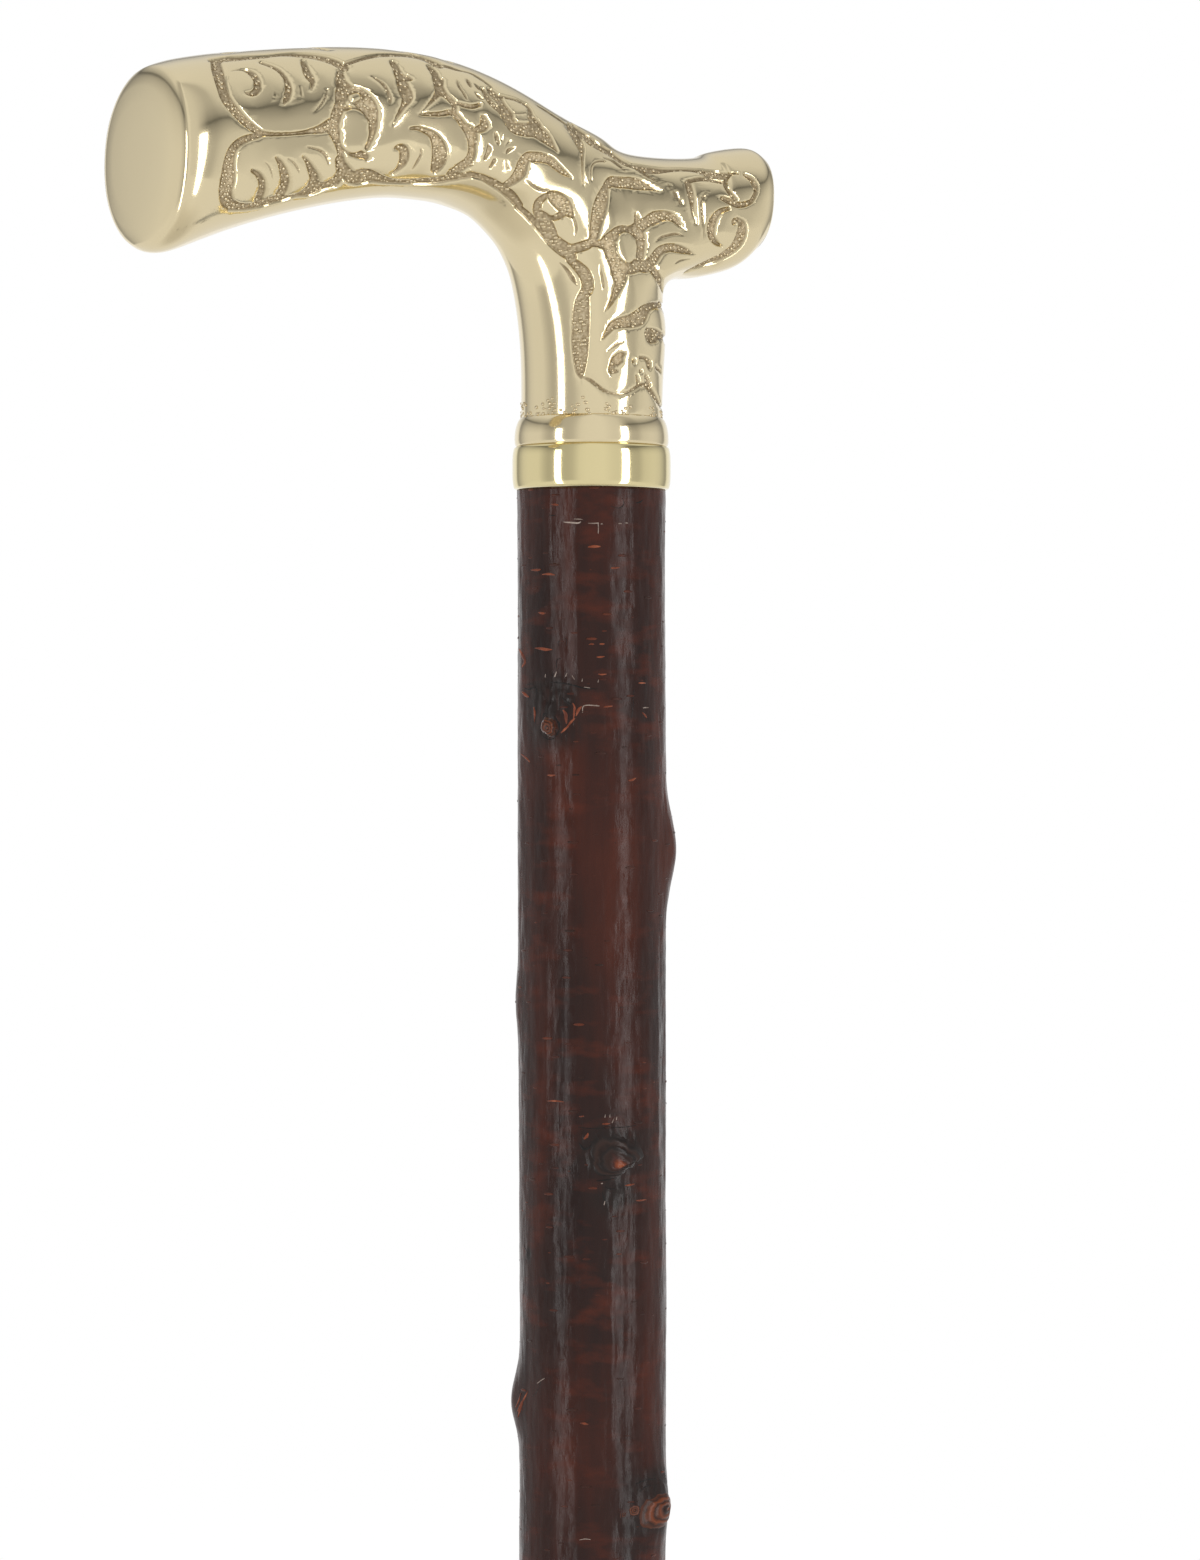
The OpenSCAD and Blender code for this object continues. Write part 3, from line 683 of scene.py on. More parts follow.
def along(rows, step):
    """A stroke's rows, curved and sampled about every step."""
    rows = np.array(rows, float)
    out = [rows[0]]
    for i in range(len(rows) - 1):
        parts = max(1, math.ceil(np.linalg.norm(rows[i + 1, :2] - rows[i, :2]) / step))
        out += [catmull(rows, i + k / parts) for k in range(1, parts + 1)]
    return np.array(out)


def lay(origin, direction):
    """Where a line meets the skin, and the skin's normal there."""
    hit, normal, _, _ = skin_tree.ray_cast(Vector(origin), Vector(direction).normalized())
    return (None, None) if hit is None else (np.array(hit), np.array(normal))


def stroke_from_photo(rows):
    """Points and half widths on the skin of a stroke given in photograph pixels."""
    points, normals, widths = [], [], []
    for x, y, width in along(rows, PX_STEP):
        hit, normal = lay(EYE, photo_ray(x, y))
        if hit is not None:
            points.append(hit)
            normals.append(normal)
            widths.append(width * ((hit - EYE) @ CAM_AHEAD) / FOCAL_PX)
    points, normals, widths = np.array(points), np.array(normals), np.array(widths)
    if len(points) > 1:
        ahead = np.gradient(points, axis=0)
        side = np.cross(normals, ahead)
        side /= np.linalg.norm(side, axis=1, keepdims=True) + TINY
        sight = (points - EYE) / np.linalg.norm(points - EYE, axis=1, keepdims=True)
        seen = np.sqrt(1 - (side * sight).sum(1) ** 2)
        widths = widths / np.maximum(seen, FORESHORTENING)
    return points, widths / 2


def stroke_from_above(rows):
    """The same for a crown stroke."""
    found = [(lay((x, y, ABOVE), (0, 0, -1))[0], w) for x, y, w in along(rows, CROWN_STEP)]
    return np.array([p for p, _ in found]), np.array([w / 2 for _, w in found])


def stroke_round_neck(rows):
    """The same for a stroke on the neck's back."""
    points, halves = [], []
    for bearing, height, width in along(rows, NECK_STEP):
        out = np.array([math.sin(math.radians(bearing)), -math.cos(math.radians(bearing)), 0])
        hit, _ = lay(ABOVE * out + [0, 0, height], -out)
        points.append(hit)
        halves.append(width / 2)
    return np.array(points), np.array(halves)


# %% Distance from every skin point to the strokes
# distances are measured up to this many millimetres
REACH = 2.5
# every point folded over to the near side, so that the far side gets the mirror image
near_side = skin_points * [1, 0, 1] - np.abs(skin_points * [0, 1, 0])


def distance_to(strokes):
    """Signed distance of each skin point to the edge of the nearest stroke; negative inside."""
    nearest = np.full(len(near_side), REACH)
    for points, halves in strokes:
        if len(points) < 2:
            continue
        margin = REACH + halves.max()
        box = (near_side > points.min(0) - margin) & (near_side < points.max(0) + margin)
        mine = np.flatnonzero(box.all(1))
        spot = near_side[mine]
        best = nearest[mine]
        for a, b, ra, rb in zip(points[:-1], points[1:], halves[:-1], halves[1:]):
            edge = b - a
            share = np.clip((spot - a) @ edge / max(edge @ edge, TINY), 0, 1)
            gap = np.linalg.norm(spot - a - share[:, None] * edge, axis=1)
            best = np.minimum(best, gap - (ra + share * (rb - ra)))
        nearest[mine] = best
    return nearest


ground = [stroke_from_photo(rows) for rows in GROUND_PX.values()]
ground += [stroke_from_above(rows) for rows in CROWN_MM.values()]
ground += [stroke_round_neck(rows) for rows in BACK_MM.values()]
to_ground = distance_to(ground)
to_island = distance_to([stroke_from_photo(rows) for rows in ISLANDS_PX.values()])
to_vein = distance_to([stroke_from_photo(rows) for rows in VEINS_PX.values()])
to_leaf = np.maximum(to_ground, -to_island)
to_edge = np.minimum(to_leaf, to_vein)
print("sunk share of the skin", round(float((to_edge < 0).mean()), 3))

# %% Sink the ground
GROUND_DEPTH, VEIN_DEPTH = 0.42, 0.2
# a leaf's top falls by the roll over its reach towards the ground, and less towards a vein
EDGE_ROLL, EDGE_ROLL_REACH, VEIN_LAG = 0.065, 2.4, 1.3
# a wall starts this far outside a stroke's edge and ends this far inside it
WALL_OUT, VEIN_OUT, WALL_IN = 0.1, 0.02, 0.24


def smooth_step(low, high, value):
    """0 below low, 1 above high, with soft ends."""
    t = np.clip((value - low) / (high - low), 0, 1)
    return t * t * (3 - 2 * t)


depth = GROUND_DEPTH * smooth_step(-WALL_OUT, WALL_IN, -to_leaf)
depth = np.maximum(depth, VEIN_DEPTH * smooth_step(-VEIN_OUT, WALL_IN, -to_vein))
to_roll = np.maximum(np.minimum(to_leaf, to_vein + VEIN_LAG), 0)
depth += EDGE_ROLL * np.clip(1 - to_roll / EDGE_ROLL_REACH, 0, 1) ** 2
for x, y, reach, rise in SWELLS_PX.values():
    middle, _ = lay(EYE, photo_ray(x, y))
    away = np.linalg.norm(near_side - middle, axis=1) / reach
    depth -= rise * np.clip(1 - away ** 2, 0, 1) ** 2
carved = skin_points - skin_normals * depth[:, None]
print("deepest ground", round(float(depth.max()), 2), "mm")

# %% Close the ends of the skin
END_CROWN, END_SHIFT = 1.5, 1.3
# scale, rise share and shift share of each ring; the flat lies a little to the far side
CAP_RINGS = [(0.985, 0.2, 0.05), (0.96, 0.38, 0.2), (0.92, 0.56, 0.45), (0.86, 0.74, 0.8),
             (0.78, 0.86, 1), (0.6, 0.95, 0.9), (0.3, 1, 0.5)]


def border_loops(faces):
    """Ordered border loops of a quad skin, each running with its faces."""
    ahead = {}
    for face in faces.tolist():
        for k in range(4):
            ahead[face[k], face[(k + 1) % 4]] = True
    after = {b: a for a, b in ahead if (b, a) not in ahead}
    loops = []
    while after:
        start, v = next(iter(after.items()))
        loop = [start]
        while v != start:
            loop.append(v)
            v = after.pop(v)
        after.pop(start)
        loops.append(loop)
    return loops


all_points, all_faces = carved.tolist(), skin_faces.tolist()
for loop in border_loops(skin_faces):
    rim = np.array([all_points[v] for v in loop])
    middle = rim.mean(0)
    outward = np.cross(rim[1] - rim[0], middle - rim[0])
    outward = outward / np.linalg.norm(outward)
    last = loop
    is_base = middle[2] < BEAD_H
    for scale, rise, shift in [] if is_base else CAP_RINGS:
        first = len(all_points)
        flat = middle + outward * END_CROWN * rise + np.array([0, END_SHIFT * shift, 0])
        all_points += (flat + (rim - middle) * scale).tolist()
        new = list(range(first, first + len(loop)))
        for k in range(len(loop)):
            n = (k + 1) % len(loop)
            all_faces.append([last[k], last[n], new[n], new[k]])
        last = new
    all_faces.append(last)
    print("end at", np.round(middle, 1), "faces", np.round(outward, 2))

# %% [markdown]
# ## Brass
# The handle is cast brass: buffed bright on the leaves, matt and brown where the ground is
# sunk. Metal shows almost only reflections, so its colour is the tint that it gives to a
# white room. The ground could be picked out by a painted mask, but a number stored on
# every point, the distance to the nearest carved edge, follows the carving by itself: it
# tells the material where the ground starts and where painted shade darkens the walls.

# %% Brass materials
CAST_BRASS = "#E0D1AC"
TURNED_BRASS = "#E0D2A2"
GROUND_TONES = [(0.3, "#968669"), (0.5, "#B5A485"), (0.72, "#D0C2A4")]
GRAIN_TONE = "#CDBE9E"
# painted shade: a dark brown laid down the walls of the sunk ground
PAINTED_SHADE_TONE = "#6A5636"
# the haze varies the roughness between these shares of it
HAZE_LOW, HAZE_HIGH = 0.75, 1.3
# real buffing marks are far finer; these are drawn as coarse as they need to show
CLOUD_MM, BUFF_MM, BUFF_DEPTH = 12, 1.4, 0.05
GRIT_MM, PIT_DEPTH, GROUND_ROUGHNESS = 0.5, 0.12, 0.5
# millimetres from the carved edge, negative inside: where the ground's tone starts and is full
GROUND_FROM, GROUND_FULL = -0.06, -0.24
# painted shade between these distances: fading out over the ground, most down the wall, none on the leaf
PAINTED_SHADE_IN, PAINTED_SHADE_OUT = -0.8, 0.2
PAINTED_SHADE_SHARES = [(0, 0), (0.3, 0.08), (0.5, 0.4), (0.7, 0.4), (0.82, 0)]


def polished_brass(name, colour, roughness, matted=False):
    """Buffed brass: a pale yellow mirror with faint buffing marks and a slow haze; matted, its ground is
    browner and dull with fine grit."""
    material, tree, shader, spot = new_material(name)
    cloud, buff, grit = (
        add(tree, "ShaderNodeTexNoise", Vector=spot, Scale=1 / (size * MM), Detail=detail).outputs["Fac"]
        for size, detail in ((CLOUD_MM, 3.0), (BUFF_MM, 4.0), (GRIT_MM, 3.0))
    )
    gloss = add(tree, "ShaderNodeMapRange", Value=cloud, To_Min=roughness * HAZE_LOW,
                To_Max=roughness * HAZE_HIGH).outputs["Result"]
    marks = add(tree, "ShaderNodeBump", Strength=0.02, Distance=BUFF_DEPTH * MM,
                Height=buff).outputs["Normal"]
    feed(tree, shader, Metallic=1.0, Base_Color=linear(colour), Roughness=gloss, Normal=marks)
    if matted:
        edge = add(tree, "ShaderNodeAttribute", {"attribute_name": "to_edge"}).outputs["Fac"]
        ground = add(tree, "ShaderNodeMapRange", {"interpolation_type": "SMOOTHSTEP"}, Value=edge,
                     From_Min=GROUND_FROM, From_Max=GROUND_FULL).outputs["Result"]
        tones = add(tree, "ShaderNodeValToRGB", {"stops": GROUND_TONES}, Fac=grit).outputs["Color"]
        # painted shade down the walls of the ground, mixed into the brass tone below
        down_wall = add(tree, "ShaderNodeMapRange", Value=edge, From_Min=PAINTED_SHADE_IN, From_Max=PAINTED_SHADE_OUT)
        painted_wall_shade = add(tree, "ShaderNodeValToRGB", {"stops": PAINTED_SHADE_SHARES}, Fac=down_wall.outputs["Result"])
        sunk_tone = add(tree, "ShaderNodeMix", {"data_type": "RGBA"}, Factor=ground, i6=linear(colour),
                        i7=tones).outputs[2]
        tone = add(tree, "ShaderNodeMix", {"data_type": "RGBA"}, Factor=painted_wall_shade.outputs["Color"],
                   i6=sunk_tone, i7=linear(PAINTED_SHADE_TONE)).outputs[2]
        matt = add(tree, "ShaderNodeMapRange", Value=ground, To_Max=GROUND_ROUGHNESS).outputs["Result"]
        rough = add(tree, "ShaderNodeMath", {"operation": "MAXIMUM"}, i0=matt, i1=gloss).outputs[0]
        pits = add(tree, "ShaderNodeBump", Strength=ground, Distance=PIT_DEPTH * MM, Height=grit,
                   Normal=marks)
        feed(tree, shader, Base_Color=tone, Roughness=rough, Normal=pits.outputs["Normal"])
    print("finish:", name)
    return material


cast_brass = polished_brass("cast brass, buffed with a matted ground", CAST_BRASS, roughness=0.11,
                            matted=True)
bead_brass = polished_brass("cast brass, buffed", CAST_BRASS, roughness=0.1)
turned_brass = polished_brass("turned brass, polished", TURNED_BRASS, roughness=0.09)
matted_brass = polished_brass("cast brass, matted", GRAIN_TONE, roughness=0.3)

# %% Handle piece
# the dense skin is thinned most where it is plain, so the carving stays
HANDLE_TRIANGLES = 195000
handle_points = np.array(all_points) + [0, 0, SEAT_Z]
dense = make_mesh("brass_handle", handle_points, all_faces)
edge_all = np.full(len(handle_points), REACH)
edge_all[: len(to_edge)] = to_edge
store(dense, "to_edge", edge_all)
triangles = sum(len(face) - 2 for face in all_faces)
handle_mesh = finished(dense, "DECIMATE", ratio=HANDLE_TRIANGLES / triangles)
handle_mesh.shade_smooth()
print("handle thinned from", triangles, "to", len(handle_mesh.polygons), "triangles")
place("brass_handle", handle_mesh, cast_brass, "handle")

# %% [markdown]
# ## Scattered lenses
# Two things on this stick repeat by the hundred: the raised grains that a matting punch
# leaves on the sunk ground, and the short cross marks on the bark. Both are small lenses
# strewn over a surface. A particle system could strew them, but a Geometry Nodes tree keeps
# them a set spacing apart, so one tree makes both. A mask on the surface says where they
# may lie, and each lens is turned to lie flat with its length level.

# %% Geometry Nodes tree for scattered lenses
LENS_SEGMENTS, LENS_RINGS = 8, 4
MASK_EDGE = 0.5


def scatter_tree():
    """Lenses spread over the masked part of a surface, at least a spacing apart."""
    tree = bpy.data.node_groups.new("scattered_lenses", "GeometryNodeTree")
    sockets = {"Geometry": "Geometry", "Spacing": "Float", "Density": "Float", "Size": "Vector",
               "Smallest": "Float", "Seed": "Int", "Material": "Material"}
    for name, kind in sockets.items():
        tree.interface.new_socket(name, in_out="INPUT", socket_type="NodeSocket" + kind)
    tree.interface.new_socket("Geometry", in_out="OUTPUT", socket_type="NodeSocketGeometry")
    given = add(tree, "NodeGroupInput").outputs
    mask = add(tree, "GeometryNodeInputNamedAttribute", {"data_type": "FLOAT"}, Name="scatter")
    chosen = add(tree, "FunctionNodeCompare", {"operation": "GREATER_THAN"},
                 A=mask.outputs["Attribute"], B=MASK_EDGE)
    spread = add(tree, "GeometryNodeDistributePointsOnFaces", {"distribute_method": "POISSON"},
                 Mesh=given["Geometry"], Selection=chosen.outputs["Result"], Distance_Min=given["Spacing"],
                 Density_Max=given["Density"], Seed=given["Seed"])
    normal = spread.outputs["Normal"]
    level = add(tree, "ShaderNodeVectorMath", {"operation": "CROSS_PRODUCT"}, i0=(0, 0, 1), i1=normal)
    flat = add(tree, "FunctionNodeAlignRotationToVector", {"axis": "Z"}, Vector=normal)
    turned = add(tree, "FunctionNodeAlignRotationToVector", {"axis": "X", "pivot_axis": "Z"},
                 Rotation=flat.outputs["Rotation"], Vector=level.outputs["Vector"])
    share = add(tree, "FunctionNodeRandomValue", i2=given["Smallest"], i3=1.0, Seed=given["Seed"])
    size = add(tree, "ShaderNodeVectorMath", {"operation": "SCALE"}, i0=given["Size"],
               Scale=share.outputs[1])
    lens = add(tree, "GeometryNodeMeshUVSphere", Segments=LENS_SEGMENTS, Rings=LENS_RINGS, Radius=0.5)
    strewn = add(tree, "GeometryNodeInstanceOnPoints", Points=spread.outputs["Points"],
                 Instance=lens.outputs["Mesh"], Rotation=turned.outputs["Rotation"],
                 Scale=size.outputs["Vector"])
    real = add(tree, "GeometryNodeRealizeInstances", Geometry=strewn.outputs["Instances"])
    painted = add(tree, "GeometryNodeSetMaterial", Geometry=real.outputs["Geometry"],
                  Material=given["Material"])
    add(tree, "NodeGroupOutput", Geometry=painted.outputs["Geometry"])
    return tree


lens_tree = scatter_tree()
print("lens tree has", len(lens_tree.nodes), "nodes")


def strew(mesh, mask, size, material, **inputs):
    """Lenses of a size in millimetres, strewn over the part of a mesh where the mask holds."""
    store(mesh, "scatter", mask.astype(float))
    inputs = {"Size": Vector(size) * MM, "Material": material, **inputs}
    lenses = finished(mesh, "NODES", node_group=lens_tree, inputs=inputs)
    lenses.shade_smooth()
    return lenses


# %% Grains of the matted ground
GRAIN_MM = (0.85, 0.7, 0.46)
GRAIN_SPACING, GRAINS_PER_MM2 = 0.52, 4
GRAIN_SMALLEST, GRAIN_SEED = 0.5, 3
GRAIN_MARGIN = 0.3
# the pitted foot of the neck, just above the bead
FOOT_LOW, FOOT_HIGH = BEAD_H + 0.1, BEAD_H + 1
edge_now = read(handle_mesh.attributes["to_edge"].data, "value", 1).ravel()
height_now = read(handle_mesh.vertices, "co", 3)[:, 2] / MM - SEAT_Z
strewn_on = (edge_now < -GRAIN_MARGIN) | ((height_now > FOOT_LOW) & (height_now < FOOT_HIGH))
grains = strew(handle_mesh, strewn_on, GRAIN_MM, matted_brass, Spacing=GRAIN_SPACING * MM,
               Density=GRAINS_PER_MM2 / MM**2, Smallest=GRAIN_SMALLEST, Seed=GRAIN_SEED)
place("matting_grains", grains, matted_brass, "handle")

# %% [markdown]
# ## Neck bead and collar band
# Both are turned shapes round the shaft's axis: the bead is cast with the handle, and the
# collar band is a separate brass tube below it with a barrel-shaped outside. A Screw
# modifier on a drawn curve could make them. Here a list of radii and heights is swept
# round the axis, because then their places come from the frame and each curve is a few
# named numbers.

# %% Turned brass
# how far the bead stands out and how high, as shares of its sizes
BEAD_SHARES = np.array([[0.74, 0], [0.93, 0.09], [1, 0.24], [0.96, 0.45], [0.78, 0.68], [0.45, 0.88], [0, 1]])
BEAD_STEPS, COLLAR_STEPS = 36, 32
# the collar's radius falls by the roll towards its rims, and by the bevel at the very rim
COLLAR_ROLL, BARREL_POWER = 0.36, 4
COLLAR_BEVEL, BEVEL_FROM = 0.25, 0.94
INNER_D = 21
bead_profile = [(INNER_D / 2, SEAT_Z)]
for t in np.linspace(0, len(BEAD_SHARES) - 1, BEAD_STEPS + 1):
    out, up = catmull(BEAD_SHARES, t)
    bead_profile.append((NECK_D / 2 + out * (BEAD_D - NECK_D) / 2, SEAT_Z + up * BEAD_H))
bead_profile.append((INNER_D / 2, SEAT_Z + BEAD_H))
place("neck_bead", lathe("neck_bead", bead_profile), bead_brass, "handle")

collar_h = COLLAR_HIGH[2] - COLLAR_Z
collar_profile = [(INNER_D / 2, COLLAR_Z)]
for s in np.linspace(-1, 1, COLLAR_STEPS + 1):
    bevel = COLLAR_BEVEL * max(0, abs(s) - BEVEL_FROM) / (1 - BEVEL_FROM)
    r = COLLAR_D / 2 - COLLAR_ROLL * s**BARREL_POWER - bevel
    collar_profile.append((r, COLLAR_Z + collar_h * (s + 1) / 2))
collar_profile.append((INNER_D / 2, COLLAR_HIGH[2]))
place("brass_collar", lathe("brass_collar", collar_profile), turned_brass, "collar_band")

# %% [markdown]
# ## Shaft
# The shaft is a blackthorn stem with its bark on, its side shoots trimmed to knots, and
# varnished. A tube displaced by a texture could make it, but then nothing else would know
# where its surface is. So one function gives the skin at any depth and bearing: the CAD
# model's taper, wander and knots, and the bark's own flats, ridges and wrinkles. A number
# stored on its points, scar, tells the material where the bark is dark and rough round a
# knot. The shaft is kept out of reflections, because its mirror image made a dark wedge
# under the polished grip.

# %% Shaft form
SHAFT_LEN = COLLAR_Z - node_box("ferrule")[1][2]
SHAFT_TOP_D, SHAFT_TIP_D = 24.0, 19.8
TAPER_POWER = 1.4
WANDER, WANDER_TURNS = 0.45, 2.3
KNOT_H, KNOT_LEN, KNOT_W, KNOT_FALL = 1.7, 7.0, 5.0, 2
# share of the shaft below the collar, bearing from the near side, height share, length share
KNOT_SHARES = [
    (0.047, -65, 0.55, 1),
    (0.072, 57, 1, 1.4),
    (0.103, -123, 0.3, 1),
    (0.134, -16, 0.5, 1),
    (0.183, -123, 0.85, 1),
    (0.203, 30, 0.8, 1.2),
    (0.035, 150, 0.5, 1),
    (0.16, 165, 0.7, 1),
]
# below the picture the knots wind round the stem by a set turn, and their heights vary
LOW_KNOTS, LOW_KNOT_FIRST, LOW_KNOT_STEP = 15, 0.25, 0.047
LOW_KNOT_BEARING, LOW_KNOT_TURN = -60, 137.5
LOW_KNOT_H, LOW_KNOT_SPREAD, LOW_KNOT_CYCLE = 0.6, 0.3, 97
for i in range(LOW_KNOTS):
    height = LOW_KNOT_H + LOW_KNOT_SPREAD * math.sin(math.radians(LOW_KNOT_CYCLE * i))
    turn = LOW_KNOT_BEARING + LOW_KNOT_TURN * i
    KNOT_SHARES.append((LOW_KNOT_FIRST + LOW_KNOT_STEP * i, turn, height, 1))
# depth below the collar, bearing, half width, half height, strength
SCARS = [
    (34, -66, 6, 4.8, 1),
    (38.5, -60, 5.4, 3.4, 0.8),
    (106, -18, 6.4, 5, 1),
    (112.8, -17, 4, 3.6, 1),
    (122.9, -94, 0.9, 1.4, 1),
    (159.5, 22, 6, 2.6, 0.8),
    (166, 18, 6, 1.6, 0.8),
]
# depth, half length, bearing, half angle of places where the stem is a little flat
FLATS = [(16, 26, -55, 11), (60, 14, 10, 9), (84, 16, -62, 9), (130, 22, -8, 10), (96, 18, 40, 10)]
FLAT_POWER = 4
BARK_RIDGE, RIDGE_TURN, RIDGE_LEN = 0.16, 2.2, 40
BARK_WRINKLE, WRINKLE_W, WRINKLE_LEN = 0.07, 1.7, 4.5
ROUGH_BARK, ROUGH_BARK_MM = 0.2, 1.2
SCAR_FAINT = 0.05
# how fast the noise's finer layers fade, and how much finer each one is
NOISE_FADE, NOISE_GAP = 0.9, 2.1
print("shaft length", round(SHAFT_LEN, 1), "mm, knots", len(KNOT_SHARES), "scars", len(SCARS))


def turned(bearing, degrees):
    """Angle from a bearing in degrees to bearings in radians, the short way round."""
    return (bearing - math.radians(degrees) + math.pi) % (2 * math.pi) - math.pi


def patch(depth, bearing, rows):
    """Strongest of the soft oval patches at places on the shaft, 0 to 1."""
    best = np.zeros(depth.shape)
    for far_down, turn, half_w, half_h, strength in rows:
        across = turned(bearing, turn) * SHAFT_TOP_D / 2 / half_w
        far = ((depth - far_down) / half_h) ** 2 + across**2
        best = np.maximum(best, strength * np.exp(-(far**2)))
    return best


def lumps(spots, octaves):
    """Fractal noise at a row of places."""
    return np.array([noise.fractal(Vector(spot), NOISE_FADE, NOISE_GAP, octaves) for spot in spots])


def shaft_skin(depth, bearing, bark=True):
    """Points of the shaft's skin at depths below the collar and bearings in radians, and the way out."""
    s = depth / SHAFT_LEN
    radius = (SHAFT_TOP_D + (SHAFT_TIP_D - SHAFT_TOP_D) * s**TAPER_POWER) / 2
    for share, turn, height, length in KNOT_SHARES:
        rise = (depth - share * SHAFT_LEN) / (length * KNOT_LEN)
        far = rise**2 + (turned(bearing, turn) * SHAFT_TOP_D / 2 / KNOT_W) ** 2
        radius = radius + KNOT_H * height * np.exp(-KNOT_FALL * far)
    out = np.stack([np.sin(bearing), -np.cos(bearing), 0 * bearing], axis=1)
    if bark:
        for far_down, half_len, turn, half_angle in FLATS:
            off = np.minimum(np.abs(turned(bearing, turn)), math.radians(half_angle))
            dip = 1 - math.cos(math.radians(half_angle)) / np.cos(off)
            radius = radius * (1 - dip * np.exp(-(((depth - far_down) / half_len) ** FLAT_POWER)))
        along_z = np.array([[0, 0, 1]]) * depth[:, None]
        radius = radius + BARK_RIDGE * lumps(out * RIDGE_TURN + along_z / RIDGE_LEN, octaves=4)
        around = out * SHAFT_TOP_D / 2
        radius = radius + BARK_WRINKLE * lumps(around / WRINKLE_W + along_z / WRINKLE_LEN, octaves=3)
        scar = patch(depth, bearing, SCARS)
        rough = np.flatnonzero(scar > SCAR_FAINT)
        torn = lumps((around + along_z)[rough] / ROUGH_BARK_MM, octaves=3)
        radius[rough] += ROUGH_BARK * scar[rough] * torn
    sway = WANDER * np.sin(math.pi * s)
    shift = 2 * math.pi * WANDER_TURNS * s
    centre = np.stack([sway * np.sin(shift), sway * np.cos(shift), COLLAR_Z - depth], axis=1)
    return centre + radius[:, None] * out, out


# %% Bark materials
BARK_TONES = [(0.32, "#20110E"), (0.46, "#2B140E"), (0.56, "#36160D"), (0.7, "#461C0E")]
MOTTLE_TONE, SCAR_TONE = "#52200F", "#1F1613"
CORK_TONES = [(0.35, "#2B150E"), (0.5, "#3D1B11"), (0.7, "#5E2C1A")]
STREAK_MM, BLOTCH_MM, MOTTLE_MM, GRAIN_LINE_MM, PEBBLE_MM = 5, 22, 7, 0.8, 1.1
# how a pattern is squeezed along the stem; below 1 it is drawn out instead
STREAK_SQUEEZE, MOTTLE_SQUEEZE, PEBBLE_SQUEEZE = 0.1, 2.6, 0.45
STREAK_SHARE = 0.55
# red mottles start and are full at these noise levels, and hide at most this share of the bark
MOTTLE_FROM, MOTTLE_FULL, MOTTLE_MOST = 0.52, 0.8, 0.75
FIBRES_LOW, FIBRES_HIGH = 0.1, 1.9
PEBBLE_LOW, PEBBLE_HIGH = 0.3, 0.7
GLOSS_LOW, GLOSS_HIGH = 0.19, 0.38
GRAIN_LINE_DEPTH, PEBBLE_DEPTH = 0.1, 0.15
WOOD_GRIT_MM, WOOD_GRIT_DEPTH = 0.4, 0.05
VARNISH_SHINE = 0.22


def varnished_bark():
    """Blackthorn bark under varnish: charcoal to red-brown streaks, glossy over a pebbled skin."""
    material, tree, shader, spot = new_material("blackthorn bark, varnished")
    lengthwise, crosswise, upright = (
        add(tree, "ShaderNodeMapping", Vector=spot, Scale=(1, 1, squeeze)).outputs["Vector"]
        for squeeze in (STREAK_SQUEEZE, MOTTLE_SQUEEZE, PEBBLE_SQUEEZE)
    )
    streak, blotch, mottle, grain, pebble = (
        add(tree, "ShaderNodeTexNoise", Vector=vector, Scale=1 / (size * MM), Detail=5.0).outputs["Fac"]
        for vector, size in ((lengthwise, STREAK_MM), (spot, BLOTCH_MM), (crosswise, MOTTLE_MM),
                             (lengthwise, GRAIN_LINE_MM), (upright, PEBBLE_MM))
    )
    blotches = add(tree, "ShaderNodeMath", {"operation": "MULTIPLY"}, i0=blotch, i1=1 - STREAK_SHARE)
    tone_at = add(tree, "ShaderNodeMath", {"operation": "MULTIPLY_ADD"}, i0=streak, i1=STREAK_SHARE,
                  i2=blotches.outputs[0])
    tones = add(tree, "ShaderNodeValToRGB", {"stops": BARK_TONES}, Fac=tone_at.outputs[0]).outputs["Color"]
    red_at = add(tree, "ShaderNodeMapRange", Value=mottle, From_Min=MOTTLE_FROM, From_Max=MOTTLE_FULL,
                 To_Max=MOTTLE_MOST).outputs["Result"]
    tones = add(tree, "ShaderNodeMix", {"data_type": "RGBA"}, Factor=red_at, i6=tones,
                i7=linear(MOTTLE_TONE)).outputs[2]
    fibres = add(tree, "ShaderNodeMapRange", Value=grain, To_Min=FIBRES_LOW,
                 To_Max=FIBRES_HIGH).outputs["Result"]
    scar = add(tree, "ShaderNodeAttribute", {"attribute_name": "scar"}).outputs["Fac"]
    torn = add(tree, "ShaderNodeMath", {"operation": "MULTIPLY", "use_clamp": True}, i0=scar, i1=fibres)
    tones = add(tree, "ShaderNodeMix", {"data_type": "RGBA"}, Factor=torn.outputs[0], i6=tones,
                i7=linear(SCAR_TONE)).outputs[2]
    gloss = add(tree, "ShaderNodeMapRange", Value=pebble, From_Min=PEBBLE_LOW, From_Max=PEBBLE_HIGH,
                To_Min=GLOSS_LOW, To_Max=GLOSS_HIGH).outputs["Result"]
    lines = add(tree, "ShaderNodeBump", Strength=0.5, Distance=GRAIN_LINE_DEPTH * MM, Height=grain)
    bump = add(tree, "ShaderNodeBump", Strength=0.55, Distance=PEBBLE_DEPTH * MM, Height=pebble,
               Normal=lines.outputs["Normal"])
    feed(tree, shader, Base_Color=tones, Roughness=gloss, Normal=bump.outputs["Normal"],
         Specular_IOR_Level=VARNISH_SHINE)
    print("finish:", material.name)
    return material


